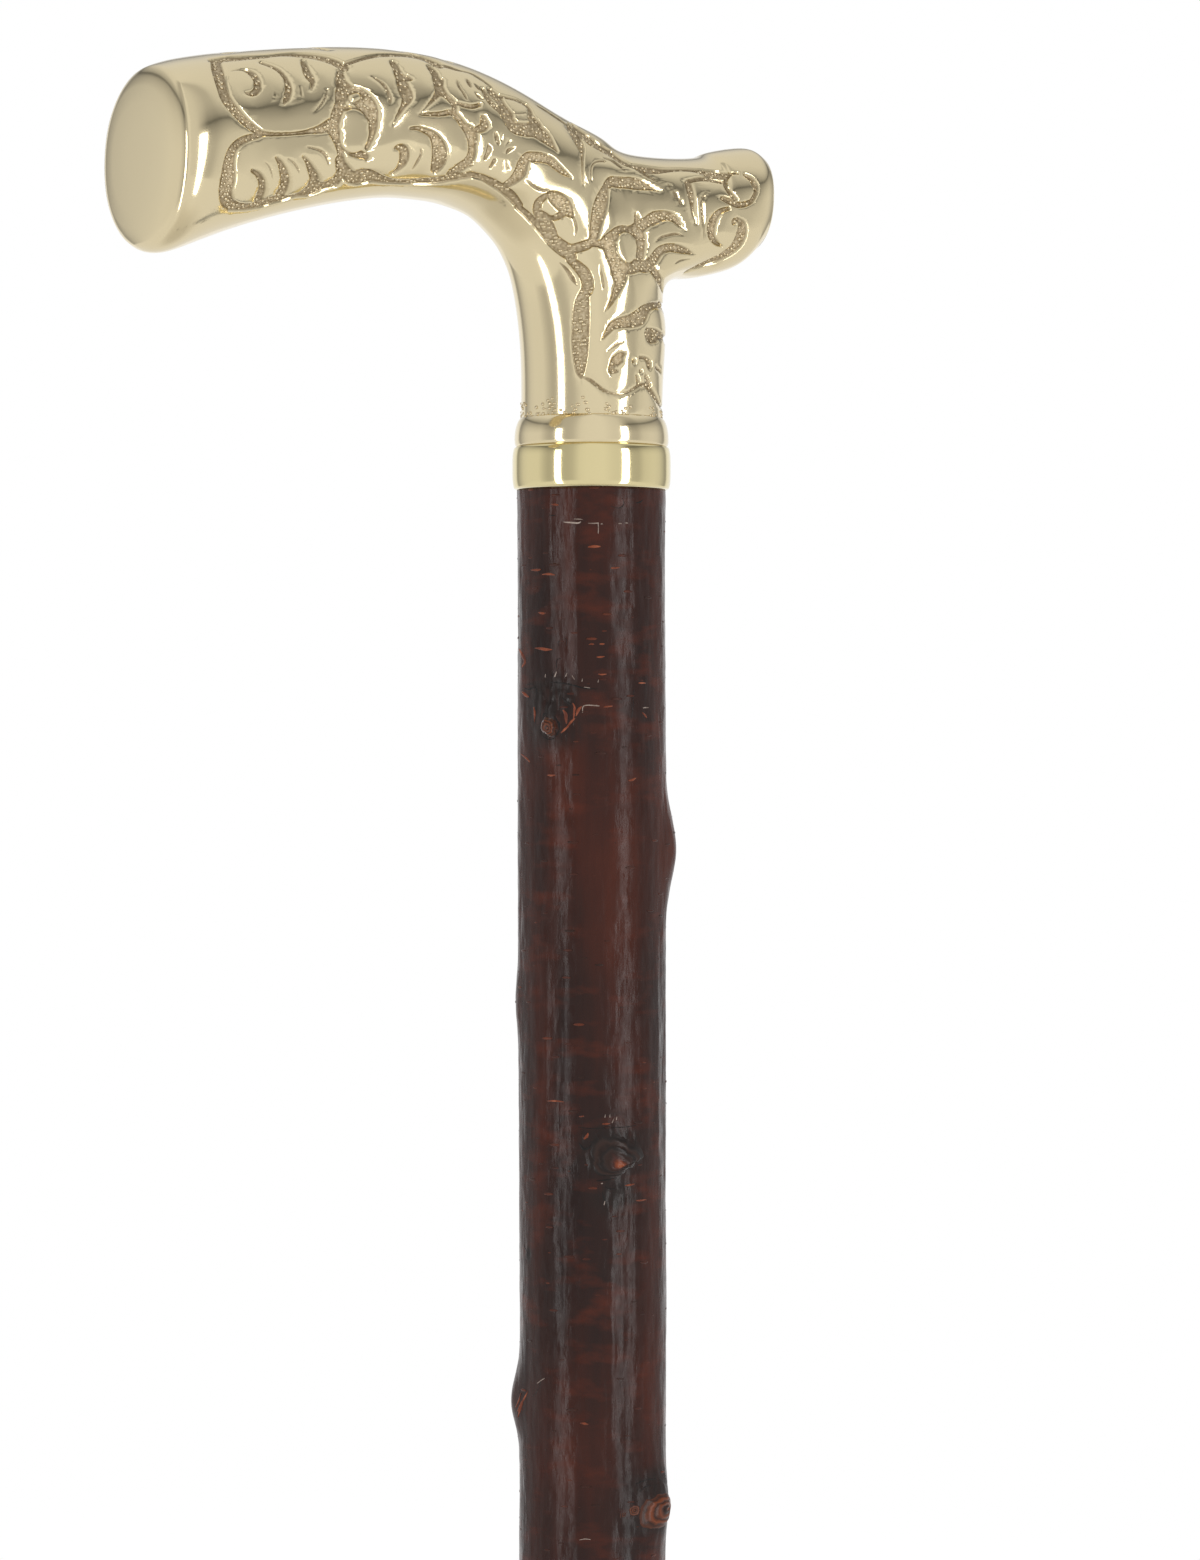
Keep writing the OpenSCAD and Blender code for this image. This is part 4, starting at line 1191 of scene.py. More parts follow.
def coloured_wood(name, tones, size, roughness):
    """A small wood or bark part under varnish: soft clouds between its tones and a fine grit."""
    material, tree, shader, spot = new_material(name)
    cloud = add(tree, "ShaderNodeTexNoise", Vector=spot, Scale=1 / (size * MM), Detail=3.0).outputs["Fac"]
    colour = add(tree, "ShaderNodeValToRGB", {"stops": tones}, Fac=cloud).outputs["Color"]
    grit = add(tree, "ShaderNodeTexNoise", Vector=spot, Scale=1 / (WOOD_GRIT_MM * MM)).outputs["Fac"]
    bump = add(tree, "ShaderNodeBump", Strength=0.3, Distance=WOOD_GRIT_DEPTH * MM, Height=grit)
    feed(tree, shader, Base_Color=colour, Normal=bump.outputs["Normal"], Roughness=roughness,
         Specular_IOR_Level=VARNISH_SHINE)
    print("finish:", name)
    return material


bark = varnished_bark()
# lenticels are pores of cork: dull orange-brown, darker here and there
cork = coloured_wood("lenticel cork, varnished", CORK_TONES, size=7, roughness=0.4)

# %% Shaft in two lengths, with lenticels strewn over the bark
SHAFT_SIDES = 240
# the upper length is the one in the photograph; the lower one ends just inside the ferrule
SHAFT_SPLIT, SHAFT_TUCK = 180, 0.4
# name, top and bottom depth below the collar, ring step
SHAFT_SPANS = [
    ("bark_shaft_top", 0, SHAFT_SPLIT, 0.5),
    ("bark_shaft_low", SHAFT_SPLIT, SHAFT_LEN + SHAFT_TUCK, 1.7),
]
LENTICEL_MM = (2.1, 0.5, 0.16)
LENTICEL_SPACING, LENTICELS_PER_MM2 = 2.4, 0.05
LENTICEL_SMALLEST, LENTICEL_SEED = 0.2, 11
turns = np.arange(SHAFT_SIDES) * 2 * math.pi / SHAFT_SIDES
for name, top, bottom, step in SHAFT_SPANS:
    depths = np.linspace(top, bottom, round((bottom - top) / step) + 1)
    depth, bearing = (grid.ravel() for grid in np.meshgrid(depths, turns, indexing="ij"))
    points, _ = shaft_skin(depth, bearing)
    faces = tube(len(depths), SHAFT_SIDES)
    if top == 0:
        bark_tree = BVHTree.FromPolygons(points.tolist(), faces)
    mesh = make_mesh(name, points, faces)
    store(mesh, "scar", patch(depth, bearing, SCARS))
    lenticels = strew(mesh, (depth > top) & (depth < bottom), LENTICEL_MM, cork,
                      Spacing=LENTICEL_SPACING * MM, Density=LENTICELS_PER_MM2 / MM**2,
                      Smallest=LENTICEL_SMALLEST, Seed=LENTICEL_SEED)
    for piece in (place(name, mesh, bark, "shaft"),
                  place(name + "_lenticels", lenticels, cork, "shaft")):
        piece.visible_glossy = False

# %% [markdown]
# ### Marks on the bark
# Cracks, chips of bare wood and pale scuffs lie where the photograph shows them. They could
# be painted on a texture, but the stick has none. Each is a thin closed strip drawn like
# the carving, as pixels of the photograph with a width, sent through the camera onto the
# bark and raised a hair above it. The cracks are not cut in: their near-black strips paint
# the shade that falls inside each crack.

# %% Marks, as (x, y, width) pixels of the photograph
CRACKS_PX = [
    [(549, 682, 1.2), (556, 682.5, 2.5), (565, 683.5, 3), (574, 685.5, 3), (584, 688, 2.2), (598, 689, 0.8)],
    [(524, 688, 2), (529, 689.5, 3.5), (534, 687, 3.5), (537, 691, 2.5), (536, 695, 1.5)],
    [(536, 686, 1), (531, 684, 2), (526, 685, 1)],
    [(562, 698, 3), (567, 702, 5), (571, 704.5, 1.5)],
    [(542, 719, 1.5), (544, 714, 3.5), (548, 713, 2)],
    [(555, 717, 2), (558.5, 723, 4), (559, 730, 3), (556, 736, 1.5)],
    [(540, 733, 1), (545, 738, 1.8), (551, 739.5, 1.8), (556, 737, 1)],
    [(559, 646, 1), (558, 642, 1.2), (562, 641, 1)],
    [(566, 646, 1), (566.5, 640, 1.2), (564, 638, 0.8)],
    [(556.5, 668, 1.2), (557, 660, 1.4), (561, 658.5, 1)],
    [(551, 690, 0.8), (553, 682, 1.2), (552, 672, 1)],
    [(562, 690, 0.8), (563, 696, 1.2), (563, 700, 1)],
    [(631, 703, 1), (632.5, 711, 1.5), (631, 719, 1)],
    [(634, 690, 1), (633, 699, 1.5), (634, 707, 1)],
    [(578, 1127, 1), (590, 1128.5, 1.6), (602, 1128, 2.2), (614, 1127.5, 1.6), (626, 1127, 1.6),
     (637, 1125, 1)],
    [(579, 1143, 2), (584, 1149, 5), (590, 1147, 3), (593, 1142, 1.5)],
    [(592, 1150, 2), (596, 1153, 2.5), (599, 1157, 1)],
    [(606, 1168, 3), (610, 1171, 5), (613, 1173, 1.5)],
    [(598, 1174, 1), (604, 1175.5, 2), (615, 1174, 1.6), (624, 1172, 1)],
    [(596, 1181, 1.2), (606, 1180, 2.4), (617, 1178, 1)],
    [(605, 1187, 1.5), (612, 1189, 2.5), (621, 1187, 1)],
    [(602, 1192, 1), (604, 1198, 2), (606, 1203, 1)],
    [(611, 506, 1), (619, 508, 1.6), (624, 504, 1.6), (622, 498, 1)],
    [(636, 503, 1.5), (640, 502, 3), (643, 500, 1.2)],
    [(549, 515, 1), (553, 515.5, 2), (556, 515, 0.8)],
    [(524, 1246, 1.5), (526, 1250, 3), (528, 1254, 1.5)],
    [(541, 1380, 0.8), (538, 1390, 1.2), (533, 1396, 0.8)],
    [(636, 1484, 1.5), (646, 1480, 3), (656, 1479, 1.5)],
    [(640, 1492, 1.2), (645, 1487, 1.8), (652, 1485, 1)],
    [(658, 1526, 1), (664, 1519, 1.6), (667, 1509, 1)],
]
CHIPS_PX = [
    [(572.5, 703, 1.2), (574.5, 707, 3), (574, 713, 3.2), (573.5, 720, 1)],
    [(563, 710, 1.5), (565.5, 714, 5), (566, 719, 4.5), (566.5, 724, 1.2)],
    [(576, 716, 1.2), (578.5, 710, 4.5), (582, 706, 1.2)],
    [(566, 728, 1.2), (571, 722, 3.5), (575, 718, 1.2)],
    [(561, 733, 1.2), (565, 729, 3.2), (569, 726, 1)],
    [(534, 707, 1.5), (534.5, 714, 4), (534.5, 722, 1.5)],
    [(522, 692, 3), (525.5, 695, 5), (529, 697, 1.2)],
    [(519, 649, 3), (522, 655, 7), (525, 661, 6.5), (522, 667, 2)],
    [(521, 754, 1.5), (526, 758, 3.5), (530, 762, 1.2)],
    [(588, 547, 1.5), (594, 546.4, 4), (600.5, 546.5, 1.5)],
    [(551.5, 504.5, 1.2), (555, 504.6, 3.4), (558.5, 505, 1.2)],
    [(531, 570, 1.2), (536.5, 570, 3.8), (541, 569.5, 1.2)],
    [(542, 574.5, 1), (549, 574, 3.4), (555, 575, 1)],
    [(611, 568, 1.2), (615, 568, 3), (619.5, 567.5, 1.2)],
    [(538.5, 612.5, 1.2), (542, 613.3, 3.4), (546.5, 613, 1.2)],
    [(535, 648, 1.2), (541, 648.6, 4), (546, 649.5, 4.2), (552, 649.5, 1.2)],
    [(589, 644.5, 1), (592, 644, 2.4), (594, 644.2, 1)],
    [(599.5, 644, 1.2), (602, 644, 2.6), (604.5, 643.8, 1)],
    [(596.5, 657, 1.2), (600.5, 657, 3), (604.5, 656.5, 1)],
    [(598, 674, 1), (602, 674.5, 2.4), (606.5, 674, 1)],
    [(638.5, 683, 1), (642, 683, 2.4), (645.5, 683, 1)],
    [(603.5, 707, 1), (608, 706.5, 2.4), (612.5, 706, 1)],
    [(642, 712.5, 1), (645, 715, 3), (646.5, 718, 1)],
    [(547.5, 775, 1.2), (551, 775.5, 3), (555.5, 775, 1)],
    [(628.5, 780.5, 1.2), (632, 780, 3.4), (636, 778, 1)],
    [(580, 1423, 1.2), (584.5, 1423.6, 3.4), (588.5, 1424.5, 1)],
    [(602, 1124, 1.2), (606, 1124, 3), (610, 1123.5, 1)],
    [(636, 1200.5, 1), (640, 1200.5, 2.6), (646, 1199.5, 1)],
    [(579, 1116.5, 1), (581, 1116.5, 2), (584, 1116, 1)],
    [(625, 1185.5, 1), (630, 1185, 3), (634.5, 1184, 1)],
    [(547, 1101, 1), (556, 1101, 2.6), (564, 1102, 1)],
    [(584, 1139, 2), (587, 1136, 4), (588, 1133, 1.5)],
    [(528, 1391, 1), (525, 1397, 3), (521, 1404, 4), (518, 1411, 3)],
    [(521, 1393, 1), (519, 1400, 2.5), (516, 1407, 2.5)],
    [(523, 1403, 1.5), (520, 1410, 3.5), (518, 1417, 1.2)],
]
SCUFFS_PX = [
    [(563.5, 522, 1), (570, 522.5, 2.4), (578, 523, 2.4), (581, 521.5, 1)],
    [(574, 519, 0.8), (578, 519, 1.5), (582.5, 519.5, 0.8)],
    [(588, 523.2, 0.8), (594, 523.3, 1.8), (598.5, 523, 1.6)],
    [(598.2, 523, 1.4), (598.4, 528, 1.6), (598.2, 533.5, 1)],
    [(600.8, 524, 1.2), (602.5, 523.8, 1.6)],
    [(618.5, 523.5, 1.5), (621.5, 523.5, 1.5)],
    [(625.5, 523, 1.5), (628, 523, 1.2)],
    [(582.5, 712.5, 1), (583, 706.8, 1.6), (586, 705.3, 1.6), (592, 705.3, 1.6), (596, 705.6, 2),
     (599.5, 706, 1)],
    [(643, 708, 1.2), (645.5, 707.6, 1.8), (648.5, 707.6, 1)],
    [(537, 1383.5, 0.8), (541, 1380.5, 1.5), (544.5, 1378.3, 0.8)],
    [(579.5, 1540, 0.8), (585, 1539, 1.3), (590.5, 1539.5, 0.8)],
    [(545, 677.5, 1.5), (545.5, 674, 1)],
    [(554.5, 677, 2), (556.5, 671.5, 1)],
    [(565.5, 676.5, 1.8), (567, 673, 1)],
    [(572, 675.5, 1), (574.5, 679.5, 1.4)],
    [(582, 681.5, 1.4), (582.5, 678.5, 0.8)],
    [(598, 682.5, 1.2), (598.5, 679.5, 0.8)],
    [(584, 687, 0.8), (590, 688, 1)],
    [(604.8, 1117.5, 1.4), (605.5, 1114.5, 0.8)],
    [(609.8, 1117.5, 1.6), (610, 1114.5, 0.8)],
    [(612, 1123, 1.4), (614, 1118.5, 0.8)],
    [(616.3, 1120, 1.4), (617, 1116.5, 0.8)],
    [(601, 1183.5, 1.8), (602.8, 1183.5, 1.8)],
    [(604, 1205, 1.4), (605, 1201, 0.8)],
]
print("cracks", len(CRACKS_PX), "chips", len(CHIPS_PX), "scuffs", len(SCUFFS_PX))

# %% Strips for the marks
MARK_STEP = 1.2
MARK_SINK = 0.12
# half width and height shares across a strip
MARK_SECTION = [(-1, 0), (-0.55, 0.8), (0, 1), (0.55, 0.8), (1, 0)]
# painted shade: near-black tones for the shade inside a crack, which is not cut in
CRACK_SHADE_TONES = [(0.35, "#0B0908"), (0.65, "#1A1311")]
CHIP_TONES = [(0.3, "#4C2316"), (0.5, "#733822"), (0.7, "#945238")]
SCUFF_TONES = [(0.3, "#6B5A50"), (0.6, "#A3948A")]
# the cracks' material is painted shade
crack_shade = coloured_wood("blackthorn bark, cracks in painted shade", CRACK_SHADE_TONES, size=2, roughness=0.45)
bare_wood = coloured_wood("blackthorn wood, bared", CHIP_TONES, size=1.6, roughness=0.36)
scuffed = coloured_wood("varnish, scuffed", SCUFF_TONES, size=0.9, roughness=0.5)
# name, strokes, material, rise above the bark
MARKS = [
    ("bark_cracks", CRACKS_PX, crack_shade, 0.03),
    ("bark_chips", CHIPS_PX, bare_wood, 0.1),
    ("bark_scuffs", SCUFFS_PX, scuffed, 0.05),
]
for name, strokes, material, rise in MARKS:
    points, faces = [], []
    for rows in strokes:
        spots, normals, halves = [], [], []
        for x, y, width in along(rows, MARK_STEP):
            spot, normal, _, _ = bark_tree.ray_cast(Vector(CAM_AT), Vector(photo_ray(x, y)).normalized())
            spots.append(spot)
            normals.append(normal)
            halves.append(width * ((spot - Vector(CAM_AT)) @ Vector(CAM_AHEAD)) / FOCAL_PX / 2)
        spots, normals = np.array(spots), np.array(normals)
        aside = np.cross(normals, np.gradient(spots, axis=0))
        aside /= np.linalg.norm(aside, axis=1, keepdims=True)
        first = len(points)
        for spot, normal, across, half in zip(spots, normals, aside, halves):
            for u, v in MARK_SECTION:
                lift = v * (rise + MARK_SINK) - MARK_SINK
                points.append(spot + across * half * u + normal * lift)
        faces += tube(len(spots), len(MARK_SECTION), first)
    place(name, make_mesh(name, points, faces), material, "shaft")

# %% [markdown]
# ### Knots
# Where a side shoot was cut away, the stem shows an oval of end grain: an orange pith,
# dark and light rings round it, and a lip of bark. The eyes could be part of the shaft, but
# its mesh is too coarse for rings half a millimetre wide. So each is its own small disc of
# rings laid on the stem's curve, with its outer edge just under the bark.

# %% Knot eyes
# depth below the collar, bearing, half width, half height, pith's shift across and down,
# dome, rings, freshness
EYES = [
    (38.3, -65, 1.4, 1.6, 0.2, 0.3, 1.1, 1, 0.9),
    (106.4, -18, 5.4, 3.9, 1.2, 2, 0.6, 5, 0.1),
    (164, 24, 4.4, 3, 1.6, -0.3, 0.7, 4, 1),
    (163.4, 1, 1.3, 1, 0, 0, 0.45, 2, 0.9),
    (164, -8, 0.9, 0.9, 0, 0, 0.35, 2, 0.8),
]
# the knots after these are on the far side or below the picture; their eyes grow with the knot
SEEN_KNOTS = 6
LOW_EYE_W, LOW_EYE_W_GROWS = 2.2, 2.2
LOW_EYE_H, LOW_EYE_H_GROWS = 1.8, 2
LOW_EYE_PITH, LOW_EYE_DOME, LOW_EYE_RINGS = (0.4, 0.6), 0.5, 4
FRESH_STRIDE, FRESH_LEVELS = 7, 5
for i, (share, turn, height, _) in enumerate(KNOT_SHARES):
    if i >= SEEN_KNOTS:
        half_w = LOW_EYE_W + LOW_EYE_W_GROWS * height
        half_h = LOW_EYE_H + LOW_EYE_H_GROWS * height
        fresh = FRESH_STRIDE * i % FRESH_LEVELS / FRESH_LEVELS
        EYES.append((share * SHAFT_LEN, turn, half_w, half_h, *LOW_EYE_PITH, LOW_EYE_DOME,
                     LOW_EYE_RINGS, fresh))
print("knot eyes", len(EYES))

# %% End grain
# tones from the pith to the lip of bark, on an old cut and on a fresh one
EYE_OLD = [(0, "#9A4E26"), (0.1, "#7A3A1E"), (0.2, "#43221A"), (0.32, "#1C1614"), (0.42, "#241E1C"),
           (0.52, "#151211"), (0.66, "#231E1C"), (0.8, "#171413"), (1, "#1F1A19")]
EYE_FRESH = [(0, "#8A4A28"), (0.1, "#3A1E14"), (0.2, "#1E120E"), (0.35, "#6A3720"), (0.48, "#2A1711"),
             (0.62, "#70391F"), (0.74, "#2E1A13"), (0.88, "#4E2A1B"), (1, "#1E1513")]
EYE_GRAIN_MM, EYE_GRAIN_DEPTH = 1.5, 0.12
# how far the grain shifts a tone, from half of it inwards to half outwards
RING_STRAY = 0.3


def knot_wood():
    """End grain of a trimmed shoot under varnish: rings of orange and charcoal."""
    material, tree, shader, spot = new_material("blackthorn end grain, varnished")
    ring_place, fresh = (
        add(tree, "ShaderNodeAttribute", {"attribute_name": name}).outputs["Fac"]
        for name in ("ring", "fresh")
    )
    grain = add(tree, "ShaderNodeTexNoise", Vector=spot, Scale=1 / (EYE_GRAIN_MM * MM),
                Detail=4.0).outputs["Fac"]
    stray = add(tree, "ShaderNodeMath", {"operation": "MULTIPLY_ADD"}, i0=grain, i1=RING_STRAY,
                i2=-RING_STRAY / 2).outputs[0]
    at = add(tree, "ShaderNodeMath", {"operation": "ADD"}, i0=ring_place, i1=stray).outputs[0]
    old, new = (
        add(tree, "ShaderNodeValToRGB", {"stops": stops}, Fac=at).outputs["Color"]
        for stops in (EYE_OLD, EYE_FRESH)
    )
    tone = add(tree, "ShaderNodeMix", {"data_type": "RGBA"}, Factor=fresh, i6=old, i7=new).outputs[2]
    bump = add(tree, "ShaderNodeBump", Strength=0.4, Distance=EYE_GRAIN_DEPTH * MM, Height=grain)
    feed(tree, shader, Base_Color=tone, Normal=bump.outputs["Normal"], Roughness=0.28,
         Specular_IOR_Level=VARNISH_SHINE)
    print("finish:", material.name)
    return material


# %% Discs of the knot eyes
EYE_RINGS, EYE_SIDES = 22, 44
EYE_SINK, EYE_BACK, DOME_POWER = 0.22, 1.5, 4
EYE_RIPPLE, RIPPLE_POWER = 0.14, 3
EYE_WOBBLE, WOBBLE_FADE, WOBBLE_GAP, WOBBLE_OCTAVES = 0.3, 0.8, 2, 3
rim_turns = np.arange(EYE_SIDES) * 2 * math.pi / EYE_SIDES
eye_points, eye_faces, ring_at, fresh_at = [], [], [], []
for far_down, turn, half_w, half_h, pith_x, pith_z, dome, rings, fresh in EYES:
    rim_spots = [Vector((math.cos(t), math.sin(t), far_down)) for t in rim_turns]
    wobble = [noise.fractal(spot, WOBBLE_FADE, WOBBLE_GAP, WOBBLE_OCTAVES) for spot in rim_spots]
    wave = 1 + EYE_WOBBLE * np.array(wobble)
    # the last two points are the pith on top and the middle of the hidden back
    r = np.append(np.repeat(np.arange(1, EYE_RINGS + 1) / EYE_RINGS, EYE_SIDES), [0, 0])
    rim_x = np.append(np.tile(wave * half_w * np.cos(rim_turns), EYE_RINGS), [0, 0])
    rim_z = np.append(np.tile(wave * half_h * np.sin(rim_turns), EYE_RINGS), [0, 0])
    across, down = pith_x + r * (rim_x - pith_x), pith_z + r * (rim_z - pith_z)
    spots, out = shaft_skin(far_down + down, math.radians(turn) + across / (SHAFT_TOP_D / 2), bark=False)
    rise = dome * (1 - r**DOME_POWER) - EYE_SINK
    rise -= EYE_RIPPLE * (1 - r**RIPPLE_POWER) * (1 + np.cos(2 * math.pi * rings * r)) / 2
    rise[-1] = -EYE_BACK
    first = len(eye_points)
    eye_points += list(spots + rise[:, None] * out)
    ring_at += list(r)
    fresh_at += [fresh] * len(r)
    pith, back = first + len(r) - 2, first + len(r) - 1
    last = first + (EYE_RINGS - 1) * EYE_SIDES
    for k in range(EYE_SIDES):
        n = (k + 1) % EYE_SIDES
        eye_faces.append([pith, first + k, first + n])
        eye_faces.append([last + k, back, last + n])
        for a in range(first, last, EYE_SIDES):
            b = a + EYE_SIDES
            eye_faces.append([a + k, b + k, b + n, a + n])
eye_mesh = make_mesh("knot_eyes", eye_points, eye_faces)
store(eye_mesh, "ring", ring_at)
store(eye_mesh, "fresh", fresh_at)
place("knot_eyes", eye_mesh, knot_wood(), "shaft")

# %% [markdown]
# ## Ferrule, washer and stud
# A rubber foot is pushed on the shaft's end, with ribs round its rim and rings in its tread.
# A steel washer lies in it, and a steel stud ties the handle to the shaft. The CAD model
# has all of their form, and nothing on them is finer than its solids, so those are kept
# and only given their materials.

# %% Rubber and steel
RUBBER_TONES = [(0.3, "#1B1B1C"), (0.75, "#2B2B2C")]
BLOOM_MM, RUBBER_GRIT_MM, RUBBER_GRIT_DEPTH = 6, 0.5, 0.08
STEEL_TONE, STEEL_HAZE_MM = "#C4C6C8", 3
STEEL_ROUGH_LOW, STEEL_ROUGH_HIGH = 0.25, 0.45


def moulded_rubber():
    """Black moulded rubber: dull, with a faint grey bloom."""
    material, tree, shader, spot = new_material("black rubber, moulded")
    bloom, grit = (
        add(tree, "ShaderNodeTexNoise", Vector=spot, Scale=1 / (size * MM), Detail=detail).outputs["Fac"]
        for size, detail in ((BLOOM_MM, 4.0), (RUBBER_GRIT_MM, 2.0))
    )
    colour = add(tree, "ShaderNodeValToRGB", {"stops": RUBBER_TONES}, Fac=bloom).outputs["Color"]
    bump = add(tree, "ShaderNodeBump", Strength=0.2, Distance=RUBBER_GRIT_DEPTH * MM, Height=grit)
    feed(tree, shader, Base_Color=colour, Normal=bump.outputs["Normal"], Roughness=0.62)
    return material


def plain_steel():
    """Zinc-plated steel: pale grey and slightly hazy."""
    material, tree, shader, spot = new_material("steel, zinc plated")
    haze = add(tree, "ShaderNodeTexNoise", Vector=spot, Scale=1 / (STEEL_HAZE_MM * MM),
               Detail=3.0).outputs["Fac"]
    rough = add(tree, "ShaderNodeMapRange", Value=haze, To_Min=STEEL_ROUGH_LOW,
                To_Max=STEEL_ROUGH_HIGH).outputs["Result"]
    feed(tree, shader, Base_Color=linear(STEEL_TONE), Metallic=1.0, Roughness=rough)
    return material


rubber, steel = moulded_rubber(), plain_steel()
for node, material in (("ferrule", rubber), ("stud", steel), ("ferrule_washer", steel)):
    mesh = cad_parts[node].data
    mesh.materials.clear()
    mesh.materials.append(material)
    print(node, "is", material.name)

# %% [markdown]
# ## Studio
# Polished metal shows little but the room round it, so the room is built with care. It is
# white and lights the stick softly. Two upright strip lights stand left and right of the
# camera and give the brass its two white stripes. The walls are darker beside the strips,
# a dark seam runs along the sides above them, and a dark gap lies low round the backdrop:
# these draw the bands in the brass. A picture of a room could be wrapped round the scene
# instead, but here each band is a few numbers that can be moved. The floor fades into the
# white, and the brass sees it a little darker than the camera does.

# %% World
# bearing from the camera, in degrees, and how bright the room's wall is there
WALL_LEVELS = [(-180, 1), (-84, 1), (-73, 0.76), (-66, 0.64), (-36, 0.68), (-28, 0.74), (-17, 1), (-8, 1.05),
               (18, 1.07), (32, 0.97), (42, 0.93), (62, 0.677), (73, 0.677), (84, 0.9), (98, 0.97), (180, 1)]
# height above the horizon, in degrees, and how much of the wall's light is left
SEAM_LEVELS = [(-90, 1.1), (-20, 1.1), (-8, 1), (8, 1), (14, 0.88), (20, 0.66), (23.5, 0.5), (24.5, 0.25),
               (26, 0.25), (27, 0.5), (32, 0.72), (40, 0.92), (48, 1), (90, 1.05)]
# angle off the view's own direction, in degrees: a white backdrop, a dark gap round it, the room
BACKDROP_LEVELS = [(0, 1), (34, 1), (38, 0.9), (42, 0.42), (46, 0.42), (54, 0.62), (63, 0.79),
                   (74, 0.86), (180, 0.86)]
# bearings over which the seam fades out towards the camera, and heights over which the gap does
SEAM_SIDES = (60, 46)
GAP_TOP = (18, 34)
# a ramp holds levels up to 1, so the three ramps are divided by this and multiplied back
LEVEL_TOP = 1.2
world = bpy.data.worlds.new("white room")
bpy.context.scene.world = world
world.use_nodes = True
sky = world.node_tree
facing = add(sky, "ShaderNodeTexCoord").outputs["Generated"]
ahead, right, up = (
    add(sky, "ShaderNodeVectorMath", {"operation": "DOT_PRODUCT"}, i0=facing, i1=tuple(axis)).outputs["Value"]
    for axis in (CAM_AHEAD, CAM_RIGHT, CAM_UP)
)
back = add(sky, "ShaderNodeMath", {"operation": "MULTIPLY"}, i0=ahead, i1=-1.0).outputs[0]
bearing = add(sky, "ShaderNodeMath", {"operation": "ARCTAN2"}, i0=right, i1=back).outputs[0]
height = add(sky, "ShaderNodeMath", {"operation": "ARCSINE"}, i0=up).outputs[0]
aside = add(sky, "ShaderNodeMath", {"operation": "ARCCOSINE"}, i0=ahead).outputs[0]
aside_of_camera = add(sky, "ShaderNodeMath", {"operation": "ABSOLUTE"}, i0=bearing).outputs[0]
in_front, overhead = (
    add(sky, "ShaderNodeMapRange", Value=angle, From_Min=math.radians(first), From_Max=math.radians(last))
    .outputs["Result"]
    for angle, (first, last) in ((aside_of_camera, SEAM_SIDES), (height, GAP_TOP))
)
room = LEVEL_TOP**3
# each part's own light, or its plain level where it is hidden, multiplied together
for angle, rows, hidden, plain in ((bearing, WALL_LEVELS, 0.0, 1), (height, SEAM_LEVELS, in_front, 1),
                                   (aside, BACKDROP_LEVELS, overhead, BACKDROP_LEVELS[-1][1])):
    first, last = rows[0][0], rows[-1][0]
    share = add(sky, "ShaderNodeMapRange", Value=angle, From_Min=math.radians(first),
                From_Max=math.radians(last))
    stops = [((turn - first) / (last - first), level / LEVEL_TOP) for turn, level in rows]
    part = add(sky, "ShaderNodeValToRGB", {"stops": stops}, Fac=share.outputs["Result"]).outputs["Color"]
    part = add(sky, "ShaderNodeMix", i0=hidden, i2=part, i3=plain / LEVEL_TOP).outputs[0]
    room = add(sky, "ShaderNodeMath", {"operation": "MULTIPLY"}, i0=part, i1=room).outputs[0]
# the camera itself sees plain white behind the stick
seen = add(sky, "ShaderNodeLightPath").outputs["Is Camera Ray"]
level = add(sky, "ShaderNodeMath", {"operation": "MAXIMUM"}, i0=room, i1=seen).outputs[0]
feed(sky, sky.nodes["Background"], Color=(1, 1, 1, 1), Strength=level)
print("room drawn by", len(sky.nodes), "nodes")

# %% Strip lights
# metres from the shaft's axis, and the lower end from the handle's seat
STRIP_DIST = 1.2
STRIP_LOW = -0.82
# how bright a strip is, where a white wall is 1
STRIP_GLOW = 5.0
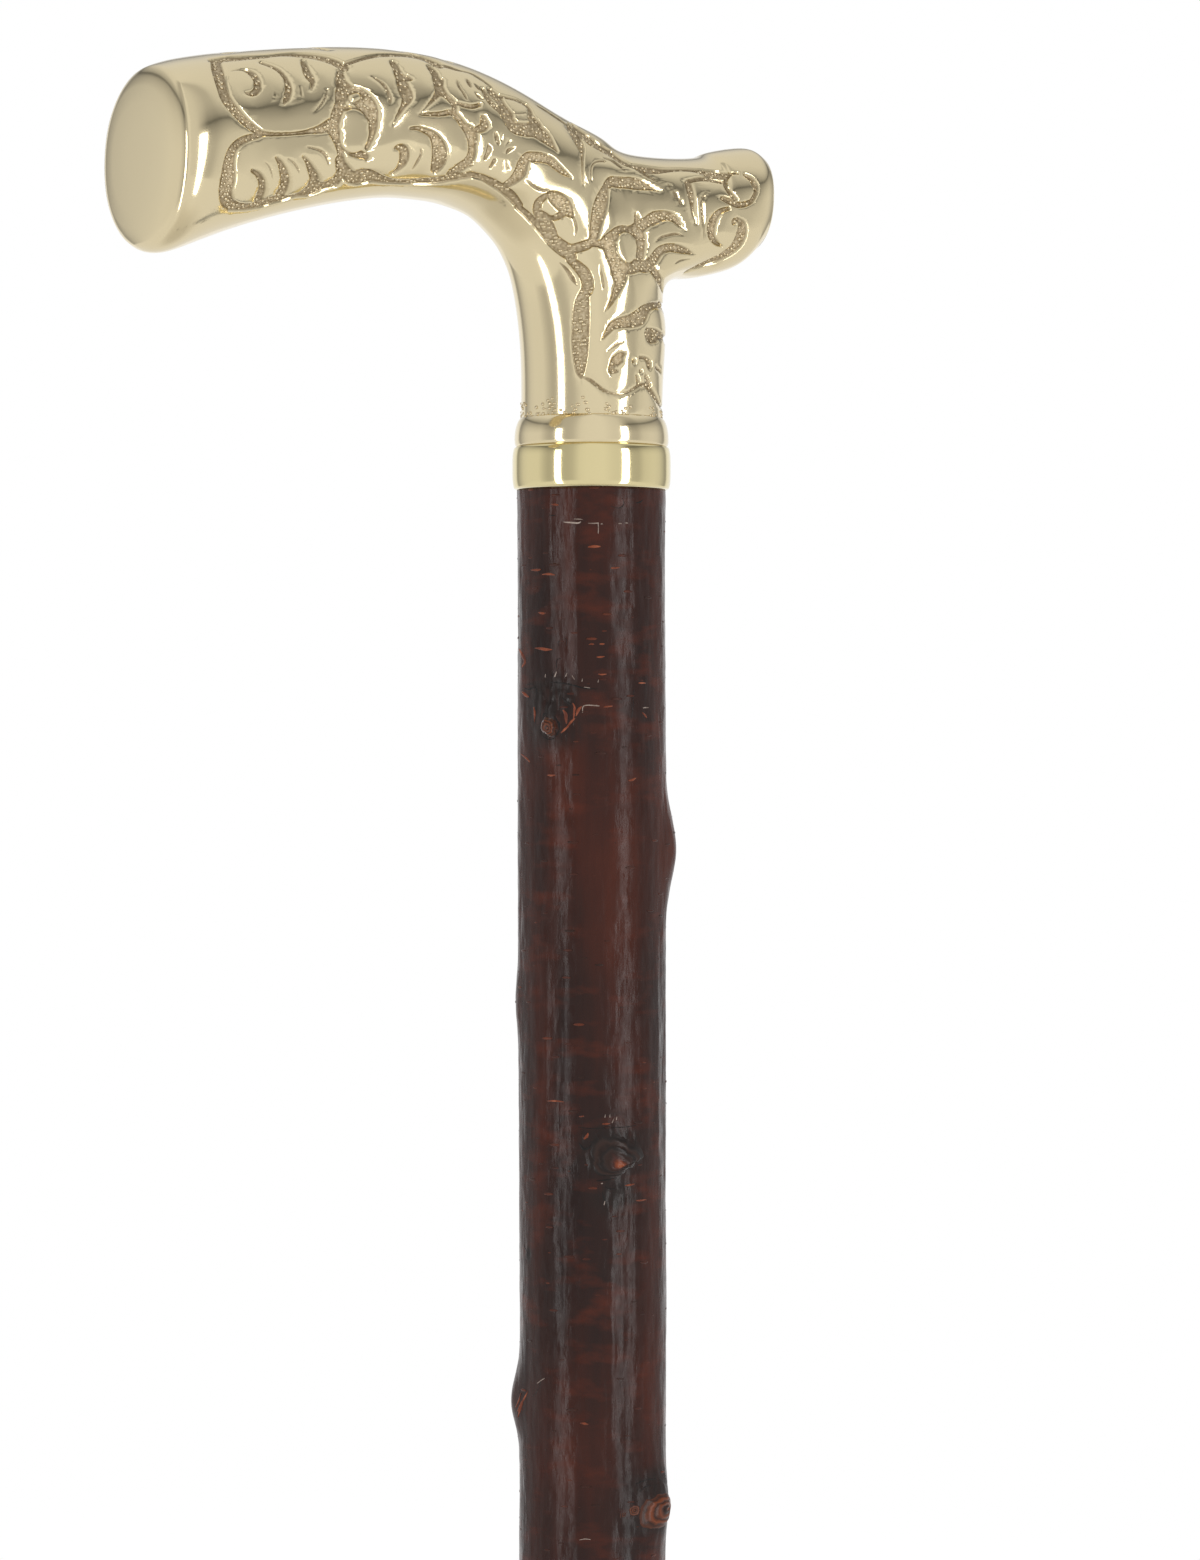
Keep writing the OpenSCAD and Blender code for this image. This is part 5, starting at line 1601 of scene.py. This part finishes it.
# bearing from the camera in degrees, width and top above the handle's seat in metres
STRIPS = [(-50, 0.2, 0.36), (51.2, 0.24, 0.44)]
for turn, width, top in STRIPS:
    angle = math.radians(turn)
    toward_strip = -CAM_AHEAD * math.cos(angle) + CAM_RIGHT * math.sin(angle)
    lamp = bpy.data.lights.new("strip light", "AREA")
    lamp.shape, lamp.size, lamp.size_y = "RECTANGLE", width, top - STRIP_LOW
    lamp.energy = math.pi * STRIP_GLOW * lamp.size * lamp.size_y
    holder = bpy.data.objects.new("strip light", lamp)
    holder.location = Vector(toward_strip * STRIP_DIST)
    holder.location.z = SEAT_Z * MM + (STRIP_LOW + top) / 2
    holder.rotation_euler = Vector(-toward_strip).to_track_quat("-Z", "Y").to_euler()
    bpy.context.scene.collection.objects.link(holder)
    print("strip light at", [round(v, 2) for v in holder.location])

# %% Floor
FLOOR_R, FLOOR_SIDES = 3.0, 96
FLOOR_TONE, FLOOR_ROUGHNESS = "#E9E7E3", 0.9
# metres from the shaft's axis where the paint starts to fade and is all white light
FADE_FROM, FADE_FULL = 0.25, 1.0
# the white light as the brass sees it; the camera sees it whole
FLOOR_IN_BRASS = 0.9
rim = np.arange(FLOOR_SIDES) * 2 * math.pi / FLOOR_SIDES
floor_points = [[FLOOR_R * math.cos(t) / MM, FLOOR_R * math.sin(t) / MM, 0] for t in rim]
floor = bpy.data.objects.new("floor", make_mesh("floor", floor_points, [list(range(FLOOR_SIDES))]))
bpy.context.scene.collection.objects.link(floor)
# matt, nearly white paint that takes the stick's shadow and melts into the backdrop
paint, floor_tree, floor_shader, spot = new_material("pale floor, matt paint")
feed(floor_tree, floor_shader, Base_Color=linear(FLOOR_TONE), Roughness=FLOOR_ROUGHNESS)
distance = add(floor_tree, "ShaderNodeVectorMath", {"operation": "LENGTH"}, i0=spot).outputs["Value"]
fade = add(floor_tree, "ShaderNodeMapRange", {"interpolation_type": "SMOOTHSTEP"}, Value=distance,
           From_Min=FADE_FROM, From_Max=FADE_FULL).outputs["Result"]
direct = add(floor_tree, "ShaderNodeLightPath").outputs["Is Camera Ray"]
strength = add(floor_tree, "ShaderNodeMapRange", Value=direct, To_Min=FLOOR_IN_BRASS).outputs["Result"]
glow = add(floor_tree, "ShaderNodeEmission", Color=(1, 1, 1, 1), Strength=strength).outputs["Emission"]
blend = add(floor_tree, "ShaderNodeMixShader", Fac=fade, i1=floor_shader.outputs["BSDF"], i2=glow)
feed(floor_tree, floor_tree.nodes["Material Output"], Surface=blend.outputs["Shader"])
floor.data.materials.append(paint)
print("floor radius", FLOOR_R, "m")

# %% [markdown]
# ## Finish
# The plain Standard view keeps colours as written.

# %% Finish
bpy.context.scene.view_settings.view_transform = "Standard"
